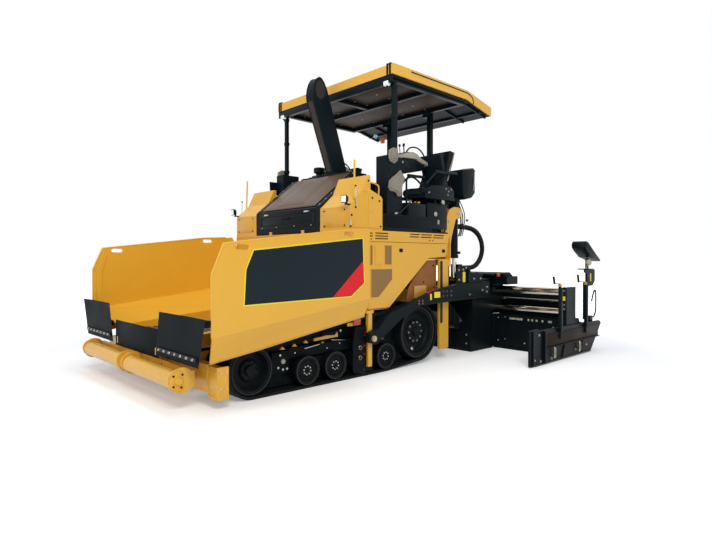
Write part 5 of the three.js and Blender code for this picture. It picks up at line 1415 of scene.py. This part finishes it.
pair("tool_box", [plate(TOOL_BOX, 0.9, 1.215, edge=0.012, segments=2),
    block((-2.1, 0.98, 1.99), (-2.02, 1.12, 2.3), 0.006)], BLACK_PLASTIC)
pair("tool_box_rim", [side_tube([(-2.045, 2.7), (-2.18, 2.722), (-2.3, 2.738), (-2.35, 2.7)],
    1.217, 0.008, 6, 4), side_tube([(-2.33, 2.62), (-2.322, 2.5), (-2.3, 2.4)], 1.217, 0.01, 6,
    4)], COLUMN_ABS)
print("seats dressed")

# %% [markdown]
# The pedestals are black cabinets with a row of coloured knobs. A bent guard tube protects the
# switches, a lever with a white tip reaches forward, and the floor edge has a dark kick plate.
# %% Pedestals and controls
PEDESTAL_Y = 1.205


def mushroom(x, z, radius=0.017):
    return turned([(0, 0), (radius * 0.5, 0), (radius * 0.5, 0.012), (radius, 0.014),
        (radius, 0.024), (radius * 0.7, 0.03), (0, 0.031)], (x, 1.15, z), UP, 20)


pair("pedestal_front", [block((-1.2, 0.745, 1.7625), (-0.83, PEDESTAL_Y, 2.132), 0.012),
    block((-1.19, PEDESTAL_Y, 1.8), (-0.84, PEDESTAL_Y + 0.006, 2.11), 0.004)], BLACK_PLASTIC)
pair("pedestal_rear_leaf", [block((-1.68, PEDESTAL_Y - 0.018, 1.8), (-1.235, PEDESTAL_Y, 2.142),
    0.006), block((-1.69, PEDESTAL_Y - 0.02, 2.142), (-1.225, PEDESTAL_Y + 0.004, 2.156), 0.004)],
    BLACK_PLASTIC)
pair("knob_white", [mushroom(-0.935, 2.132), turned([(0, 0), (0.03, 0.003), (0.034, 0.014),
    (0.02, 0.026), (0, 0.028)], (-1.565, PEDESTAL_Y + 0.004, 2.18), (0, 1, 0.2), 20)], CONSOLE_ABS)
pair("knob_orange", [mushroom(-1.041, 2.132)], KNOB_ORANGE)
pair("knob_yellow", [mushroom(-1.117, 2.132, 0.02)], MARKER_YELLOW)
pair("guard_tube", [side_tube([(-0.925, 2.13), (-0.925, 2.3), (-0.928, 2.44), (-0.97, 2.478),
    (-1.06, 2.492), (-1.16, 2.455), (-1.246, 2.4)], 1.1, 0.013),
    tube([(-1.02, 1.06, 2.51), (-1.18, 1.06, 2.52), (-1.35, 1.06, 2.528)], 0.014, 8)],
    BLACK_PLASTIC)
pair("forward_lever", [tube(smooth_path([(-0.6, 1.21, 1.972), (-0.68, 1.21, 2.0),
    (-0.77, 1.21, 2.056), (-0.86, 1.2, 2.115), (-0.9, 1.19, 2.138)], 4), 0.009, 8)], CABLE_PVC)
pair("lever_tip", [bar((-0.575, 1.21, 1.966), (-0.62, 1.21, 1.978), 0.014, 12)], CONSOLE_ABS)
pair("kick_plate_leaf", [block((-1.28, 1.2395, 1.785), (-0.315, 1.2435, 1.945), 0.002)],
    FRAME_BLACK)
pair("kick_plate_bolts", [bolt((x, 1.2435, z), OUT, 0.009) for x in (-0.36, -0.8, -1.24)
    for z in (1.8, 1.93)], BLACK_PLASTIC)
pair("deck_fittings", [turned([(0, 0), (0.035, 0.004), (0.038, 0.02), (0.024, 0.034), (0, 0.036)],
    (-1.42, 1.18, 2.01), (0, 1, 0.2), 20), block((-1.49, 1.15, 1.87), (-1.46, 1.215, 1.93),
    0.004)], CONSOLE_ABS)
pair("deck_fittings_tan", [turned([(0, 0), (0.028, 0.003), (0.03, 0.05), (0.02, 0.06), (0, 0.06)],
    (-1.5, 1.15, 1.99), (0.5, 0.2, 0.4), 18)], LATCH_TAN)
print("pedestals and controls set")

# %% [markdown]
# The tall yellow guide at the rear corner holds the screed's lift cylinder. Its post has a long
# black slot for the tow arm's pin, a dark sheet of painted shade, and a folded inner plate
# beside it, yellow enamel painted brown as shade. The curved head is a pair of plates with
# rolled edges. Pins with washers show where the cylinder hangs.
# %% Rear guide and lift point
GUIDE_Y = 1.2753
HEAD_EDGE = [(-1.648, 1.42), (-1.65, 1.68), (-1.7, 1.98), (-1.76, 2.09), (-1.86, 2.13),
    (-1.94, 2.131), (-2.005, 2.12), (-2.045, 2.06), (-2.005, 2.005)]


def slot_plate(x, z0, z1, half, y0, y1):
    turns = [(x + half * math.cos(a), z1 - half + half * math.sin(a))
        for a in [math.pi * k / 8 for k in range(9)]]
    turns += [(x - half * math.cos(a), z0 + half - half * math.sin(a))
        for a in [math.pi * k / 8 for k in range(9)]]
    return plate(turns, y0, y1, edge=0.001)


def washer_pin(centre, direction, radius):
    return turned([(0, 0), (radius, 0), (radius, 0.006), (radius * 0.72, 0.008),
        (radius * 0.68, 0.02), (radius * 0.3, 0.024), (0, 0.022)], centre, direction, 28)


# The inner plate is yellow enamel; its brown is painted shade.
SHADED_SILL = finish("yellow_enamel_painted_shade_inner", "A0672F", "7E4E26", 0.45, 3, 0.05, patch_mm=200,
    dust_amount=0.5, dust="5E4A30", glint=0.3)
for name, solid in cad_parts.items():
    if name.startswith("rear_mast"):
        solid.data.materials.append(FRAME_BLACK)
        for face in solid.data.polygons:
            if 1.179 < abs(face.center.y) < 1.201 and face.center.z < 1.39:
                face.material_index = 1
# The guide's slot is a dark sheet of painted shade.
pair("guide_slot", [slot_plate(-1.456, 0.5, 1.368, 0.03, GUIDE_Y, GUIDE_Y + 0.002)], SLOT_PAINTED_SHADE,
    slot="black_paint")
pair("guide_slot_rim", [
    block((-1.6, GUIDE_Y, 0.16), (-1.43, GUIDE_Y + 0.01, 0.19), 0.004),
    *[tube([(x, GUIDE_Y, z) for z in (0.16, 0.8, 1.38)], 0.006, 6) for x in (-1.4195, -1.608)]],
    YELLOW_ENAMEL)
pair("guide_inner_plate", [plate([(-1.415, 0.86), (-0.8, 0.86), (-0.84, 1.02), (-1.13, 1.375),
    (-1.415, 1.375)], 1.205, 1.222, edge=0.004)], SHADED_SILL, slot="yellow_paint")
pair("guide_shelf", [block((-1.18, 1.2225, 0.885), (-0.93, 1.238, 1.035), 0.006),
    slab([(-1.18, 1.238, 0.885), (-0.93, 1.238, 0.885), (-0.93, 1.215, 0.868),
    (-1.18, 1.215, 0.868)], 0.006, 0.002)], SILL_ENAMEL)
pair("guide_inner_bolts", side_bolts(1.222, 0.012, [(-1.13, 1.08), (-1.34, 1.3), (-1.36, 1.0)]),
    BLACK_PLASTIC)
pair("guide_head_edges", [tube(smooth_path([(x, y, z) for x, z in HEAD_EDGE], 4), 0.0075, 6)
    for y in (1.007, 1.193)], YELLOW_ENAMEL)
pair("guide_pins", [washer_pin((-1.985, 1.1952, 2.06), OUT, 0.036),
    washer_pin((-1.72, 1.1952, 1.93), OUT, 0.018), washer_pin((-1.69, 1.1952, 1.55), OUT, 0.018)],
    ZINC)
pair("lift_barrel_rings", [turned([(0.0585, 0), (0.066, 0.004), (0.066, 0.04), (0.0585, 0.046)],
    (-1.985, 1.1, 1.402), UP, 32), turned([(0.0585, 0), (0.063, 0.003), (0.063, 0.02),
    (0.0585, 0.024)], (-1.985, 1.1, 1.925), UP, 32), block((-2.052, 1.135, 1.46),
    (-1.995, 1.172, 1.5), 0.005)], BLACK_POWDER, "lift_barrel_{}")
print("rear guides dressed")

# %% [markdown]
# Thin cables run down the back of the deck from the tool box, in gentle bows between clips,
# and a bundle of fittings sits at the rear rail.
# %% Rear cables
pair("deck_cables", [side_tube([(-2.2, 2.36), (-2.3 - i * 0.02, 2.2), (-2.39 - i * 0.012, 2.05),
    (-2.39, 1.86), (-2.34, 1.74)], 0.93 + i * 0.03, 0.011 - i * 0.002) for i in range(3)],
    CABLE_PVC)
pair("deck_cable_clips", [block((-2.412, 0.92, 1.905), (-2.37, 1.005, 1.93), 0.004),
    turned([(0, 0), (0.018, 0.003), (0.02, 0.03), (0, 0.034)], (-2.41, 1.03, 1.98), (-1, 0, 0.2),
    16)], ZINC)
print("rear cables hung")

# %% [markdown]
# The tow arm is a thick black plate with a rolled edge. Small red dots mark its holes, a thin
# red line lies along its top, and plain yellow patches take the place of its stickers.
# %% Tow arm marks
ARM_Y = 1.3823
ARM_TOP = [(-0.035, 0.515), (-0.1, 0.556), (-0.26, 0.684), (-0.43, 0.75), (-1.14, 0.96),
    (-1.76, 1.04), (-2.49, 1.04)]
ARM_FOOT = [(-2.49, 0.824), (-1.75, 0.816), (-0.9, 0.794), (-0.52, 0.655), (-0.26, 0.505),
    (-0.065, 0.382)]


def marks(centres, radius):
    return [turned([(0, 0), (radius, 0), (radius * 0.8, 0.003), (0, 0.0035)], (x, ARM_Y, z), OUT,
        12) for x, z in centres]


RED_DOTS = [(x, z) for x in (-1.363, -1.448, -1.542) for z in (0.948, 0.886)]
RED_DOTS += [(x, z) for x in (-0.852, -0.925) for z in (0.848, 0.812)]
pair("tow_arm_edges", [tube([(x, 1.379, z) for x, z in line], 0.007, 6)
    for line in (ARM_TOP, ARM_FOOT)], BLACK_POWDER, "screed", slot="screed_paint")
pair("tow_arm_dots", marks(RED_DOTS, 0.011), MARKER_RED, "screed")
pair("tow_arm_bolts", side_bolts(ARM_Y, 0.016, [(-1.98, 0.88), (-2.42, 0.9), (-2.42, 0.97),
    (-2.3, 0.93)]) + [washer_pin((-0.01, 1.4023, 0.4575), OUT, 0.03)], ZINC, "screed")
pair("tow_arm_red_line", [slab([(-1.04, 1.325, 0.9365), (-1.04, 1.375, 0.9365),
    (-1.22, 1.375, 0.9775), (-1.22, 1.325, 0.9775)], 0.005, 0.001)], MARKER_RED, "screed")
pair("tow_arm_patches", [block((-1.111, ARM_Y, 0.848), (-1.074, ARM_Y + 0.0015, 0.93), 0),
    block((-1.29, ARM_Y, 0.872), (-1.165, ARM_Y + 0.0015, 0.95), 0)], DECAL_LINE, "screed")
print("tow arm marked with", len(RED_DOTS), "dots")

# %% [markdown]
# Behind the arm a black bracket plate carries pale bolts and one plain yellow strip. The valve
# block has fittings, lid boxes and a red cap.
# %% Screed bracket and valves
pair("arm_bracket", [plate([(-1.7, 1.0455), (-1.72, 1.262), (-1.8, 1.285), (-2.02, 1.285),
    (-2.06, 1.2), (-2.2, 1.17), (-2.36, 1.17), (-2.36, 1.0455)], 1.335, 1.352, edge=0.004),
    block((-2.0, 1.352, 0.9), (-1.955, 1.3795, 1.262), 0.004)], BLACK_POWDER, "screed",
    slot="screed_paint")
pair("arm_bracket_strip", [block((-1.915, 1.3522, 1.06), (-1.85, 1.3537, 1.205), 0)], DECAL_LINE,
    "screed")
pair("arm_bracket_bolts", side_bolts(1.352, 0.015, [(-1.757, 1.235), (-1.862, 1.238),
    (-1.93, 1.262), (-1.76, 1.095), (-2.13, 1.1), (-2.3, 1.1)]), CONSOLE_ABS, "screed")
pair("valve_fittings", [bar((-2.5 + 0.03 * i, 0.74 + 0.03 * i, 1.305),
    (-2.5 + 0.03 * i, 0.74 + 0.03 * i, 1.345), 0.012, 10) for i in range(4)], ZINC, "screed")
pair("screed_lid_boxes", [plate([(-2.82, 1.1205), (-2.82, 1.165), (-2.98, 1.185), (-3.08, 1.1205)],
    0.7, 1.44, edge=0.01, segments=2), block((-2.62, 0.98, 0.9405), (-2.42, 1.3, 1.09), 0.01),
    block((-2.78, 1.02, 1.1205), (-2.7, 1.3, 1.16), 0.008)], BLACK_PLASTIC, "screed",
    slot="screed_paint")
pair("screed_red_cap", [turned([(0, 0), (0.026, 0), (0.028, 0.03), (0.02, 0.045), (0, 0.047)],
    (-2.74, 1.38, 1.1205), UP, 20)], MARKER_RED, "screed")
pair("screed_yellow_cap", [block((-2.9, 1.3, 1.174), (-2.87, 1.4, 1.182), 0.002)], DECAL_LINE,
    "screed")
pair("screed_pale_fittings", [turned([(0, 0), (0.022, 0.002), (0.024, 0.05), (0.015, 0.06),
    (0, 0.06)], (-2.52 + 0.05 * i, 1.08 + 0.09 * i, 1.092), (0.3, 0.4, 1), 16) for i in range(3)],
    CONSOLE_ABS, "screed")
print("bracket and valves set")

# %% [markdown]
# Each extender slides on two chromed tubes, with a thin screw rod behind them. The tubes are
# part of the extender's solid, so the faces that lie on them take the chrome finish. A back
# plate, an inner end and a skid close the view between them.
# %% Chromed slide tubes
TUBE_LINES = {"left": -2.925, "right": -3.062}
TUBE_SIZES = [(0.915, 0.06), (0.635, 0.045)]
for name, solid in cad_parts.items():
    if not name.startswith("extender"):
        continue
    tube_x = TUBE_LINES[name.removeprefix("extender_")] + ORIGIN_X
    solid.data.materials.append(CHROME)
    for face in solid.data.polygons:
        for tube_z, tube_radius in TUBE_SIZES:
            out = math.hypot(face.center.x - tube_x, face.center.z - tube_z)
            if out < tube_radius + 0.002 and abs(face.normal.y) < 0.2:
                face.material_index = 1
                face.use_smooth = True
pair("screw_rod", [bar((-3.18, 1.13, 0.762), (-3.18, 2.334, 0.762), 0.0175, 14)], CHROME,
    "extender_{}")
pair("extender_back_plate", [block((-3.24, 1.115, 0.512), (-3.215, 2.336, 0.945), 0.005),
    block((-3.215, 1.12, 0.512), (-3.19, 1.15, 0.93), 0.004)], SCREED_BLACK, "extender_{}")
pair("extender_inner_end", [block((-3.38, 1.118, 0.06), (-2.885, 1.2145, 0.514), 0.006)],
    SCREED_BLACK, "extender_{}")
piece("housing_skid", [block((-3.12, -1.215, 0.532), (-2.85, 1.215, 0.5655), 0.004)], SCREED_BLACK,
    "screed")
pair("tube_collars", [turned([(inner, 0), (outer, 0), (outer, 0.004), (inner, 0.004)],
    (-2.925, 2.331, z), OUT, 28) for inner, outer, z in ((0.0605, 0.075, 0.915),
    (0.0455, 0.064, 0.635))], BLACK_POWDER, "extender_{}", slot="screed_paint")
pair("carriage_parts", [block((-2.8695, 2.345, 0.66), (-2.845, 2.39, 0.96), 0.005)], BLACK_PLASTIC,
    "extender_{}", slot="screed_paint")
pair("carriage_bolts", [bolt((-2.845, 2.368, z), FORWARD, 0.013) for z in (0.68, 0.74, 0.94)],
    ZINC, "extender_{}")
pair("carriage_patch", [block((-2.845, 2.35, 0.8), (-2.8435, 2.386, 0.86), 0)], DECAL_LINE,
    "extender_{}")
print("slide tubes chromed")

# %% [markdown]
# The extender's front plate carries bolts and a row of small bare plates, where the burner and
# vibration fittings are. They ride on the extender, on the face that looks forward.
# %% Extender front
FRONT_X = -2.8698
FRONT_BOLTS = [(1.3, 0.476), (1.42, 0.488), (1.3, 0.121), (1.42, 0.153), (2.2, 0.12),
    (2.2, 0.4), (1.75, 0.12)]
pair("extender_bolts", [bolt((FRONT_X, y, z), FORWARD, 0.012) for y, z in FRONT_BOLTS], ZINC,
    "extender_{}")
pair("extender_plates", [block((FRONT_X, y0, 0.462), (FRONT_X + 0.003, y1, 0.492), 0.001)
    for y0, y1 in [(1.5, 1.6), (1.61, 1.72), (1.8, 1.83), (1.86, 1.89), (1.93, 1.96),
    (2.02, 2.05), (2.12, 2.18)]], CONSOLE_ABS, "extender_{}")
pair("extender_inner_seal", [block((FRONT_X, 1.175, 0.02), (-2.856, 1.245, 0.515), 0.003)],
    SHEET_RUBBER, "extender_{}")
pair("extender_fold", [block((FRONT_X, 1.24, 0.02), (FRONT_X + 0.008, 2.36, 0.045), 0.003),
    block((FRONT_X, 1.24, 0.43), (FRONT_X + 0.006, 2.33, 0.44), 0.002)], SCREED_BLACK,
    "extender_{}")
pair("screed_front_bolts", [bolt((-2.2348, y, z), FORWARD, 0.014) for y in (0.35, 0.75, 1.15)
    for z in (0.12, 0.25)], ZINC, "screed")
print("extender front dressed")

# %% [markdown]
# The end gate is a steel plate that rides on the ground and holds the mix in. A brown-black
# channel runs along its top, with struts, springs, bolt heads and a folded nose in front. Two
# screw posts adjust its height, each with a crank on top.
# %% End gates
GATE_Y = 2.4216
GATE_BROWN = finish("end_gate_primer_worn", "2A1D14", "17110D", 0.5, 3, 0.1, patch_mm=180,
    dust_amount=0.1, dust="4C4132", glint=0.1)


def coil_spring(x, y, z0, z1, radius, turns):
    steps = turns * 12
    return tube([(x + radius * math.cos(2 * math.pi * k / 12),
        y + radius * math.sin(2 * math.pi * k / 12), z0 + (z1 - z0) * k / steps)
        for k in range(steps + 1)], 0.004, 6)


CRANK_Y = 2.4353


def crank(x, top, reach, rise):
    """The crank's arm and its handle, on top of a screw post."""
    return [side_tube([(x, top), (x + reach * 0.5, top + 0.006), (x + reach, top + 0.008)],
        CRANK_Y, 0.007, 8, 3), bar((x + reach, CRANK_Y, top), (x + reach + 0.03, CRANK_Y,
        top + rise), 0.015, 12)]


pair("gate_channel", [block((-3.88, GATE_Y, low), (-2.19, GATE_Y + depth, high), 0.003)
    for low, high, depth in ((0.372, 0.392, 0.01), (0.215, 0.372, 0.006), (0.205, 0.217, 0.028))],
    GATE_BROWN, "extender_{}", slot="screed_paint")
pair("gate_front_post", [block((-2.16, GATE_Y, 0.02), (-2.13, GATE_Y + 0.035, 0.44), 0.004),
    block((-1.87, GATE_Y, 0.02), (-1.84, GATE_Y + 0.02, 0.46), 0.004),
    block((-2.19, GATE_Y, 0.03), (-2.16, GATE_Y + 0.012, 0.21), 0.003)], SCREED_BLACK,
    "extender_{}")
pair("gate_struts", [plate([(x, 0.204), (x + lean, 0.03), (x + lean + 0.055, 0.03),
    (x + 0.055, 0.204)], GATE_Y, GATE_Y + 0.018, edge=0.003) for x, lean in ((-2.79, 0.07),
    (-3.36, 0.02))], GATE_BROWN, "extender_{}", slot="screed_paint")
pair("gate_springs", [part for x in (-2.4, -3.17) for part in (
    coil_spring(x, GATE_Y + 0.03, 0.075, 0.2, 0.02, 7), bar((x, GATE_Y + 0.03, 0.055),
    (x, GATE_Y + 0.03, 0.204), 0.009, 8))], ZINC, "extender_{}")
pair("gate_bolts", side_bolts(GATE_Y, 0.017, [(-1.9, 0.085), (-2.06, 0.055), (-2.36, 0.055),
    (-2.74, 0.09), (-3.1, 0.09), (-3.3, 0.1), (-3.46, 0.12), (-2.02, 0.4)]), ZINC,
    "extender_{}")
pair("gate_tan_nut", [bolt((-3.24, GATE_Y, 0.085), OUT, 0.022)], LATCH_TAN, "extender_{}")
pair("gate_skid", [block((-3.6, GATE_Y - 0.03, 0.0025), (-1.9, GATE_Y + 0.016, 0.022), 0.004)],
    WORN_STEEL, "extender_{}")
pair("gate_posts", [block((x - 0.026, 2.4218, 0.392), (x + 0.026, 2.468, 1.0), 0.005)
    for x in (-2.58, -3.4)], BLACK_POWDER, "extender_{}", slot="screed_paint")
pair("gate_nuts", [turned([(0, 0), (0.024, 0), (0.024, 0.03), (0.014, 0.04), (0, 0.04)],
    (x, CRANK_Y, 1.01), UP, 6) for x in (-2.58, -3.4)], LATCH_TAN, "extender_{}")
for part, (what, material) in enumerate((("arms", ZINC), ("grips", BLACK_PLASTIC))):
    pair(f"gate_crank_{what}", [crank(-2.58, 1.052, 0.16, 0.1)[part],
        crank(-3.4, 1.052, 0.235, 0.11)[part]], material, "extender_{}")
print("end gates fitted")

# %% [markdown]
# The screed operator's console stands on a post. Its panel tilts to the rear and has a hood, a
# screen, a wheel knob below and a grab loop. A black post plate with a plain yellow tag joins
# it to the gate.
# %% Screed consoles
POST_X = -3.68
PANEL = [(-3.41, 1.56), (-3.415, 1.625), (-3.45, 1.655), (-3.52, 1.64), (-3.74, 1.505),
    (-3.965, 1.375), (-3.955, 1.35), (-3.8, 1.388), (-3.66, 1.415), (-3.5, 1.5)]
pair("side_console_panel", [plate(PANEL, 2.215, 2.425, edge=0.01, segments=2)], BLACK_PLASTIC,
    "extender_{}", replaces=["screed_console_{}"])
pair("side_console_screen", [slab([(-3.56, 2.24, 1.617), (-3.56, 2.4, 1.617),
    (-3.7, 2.4, 1.5325), (-3.7, 2.24, 1.5325)], 0.006, 0.002)], CONSOLE_ABS, "extender_{}")
pair("side_console_post", [bar((POST_X, 2.335, 0.4103), (POST_X, 2.335, 1.4), 0.024, 16),
    block((POST_X - 0.065, 2.3, 0.47), (POST_X + 0.065, 2.325, 1.04), 0.006),
    plate([(-3.5, 1.235), (-3.86, 1.225), (-3.86, 1.05), (-3.78, 0.98), (-3.6, 0.98),
    (-3.56, 1.17), (-3.5, 1.19)], 2.36, 2.385, edge=0.006), block((POST_X - 0.1, 2.24, 1.225),
    (POST_X + 0.12, 2.4, 1.24), 0.004)], BLACK_POWDER, "extender_{}", slot="screed_paint")
pair("side_console_knob", [turned([(0, 0), (0.03, 0.003), (0.045, 0.02), (0.045, 0.045),
    (0.03, 0.062), (0, 0.066)], (-3.6, 2.37, 1.335), (0.4, 1, 0.1), 24),
    bar((-3.61, 2.36, 1.24), (-3.6, 2.37, 1.32), 0.009, 10)], CONSOLE_ABS, "extender_{}")
pair("side_console_tag", [block((-3.715, 2.385, 1.05), (-3.68, 2.3865, 1.17), 0)], DECAL_LINE,
    "extender_{}")
pair("side_console_loop", [side_tube([(-3.8, 0.5), (-3.88, 0.5), (-3.945, 0.58), (-3.955, 0.72),
    (-3.95, 0.86), (-3.92, 0.905), (-3.86, 0.86), (-3.8, 0.74)], 2.36, 0.011),
    block((-3.81, 2.33, 0.43), (-3.7, 2.375, 0.52), 0.006)], BLACK_PLASTIC, "extender_{}")
print("screed consoles standing")
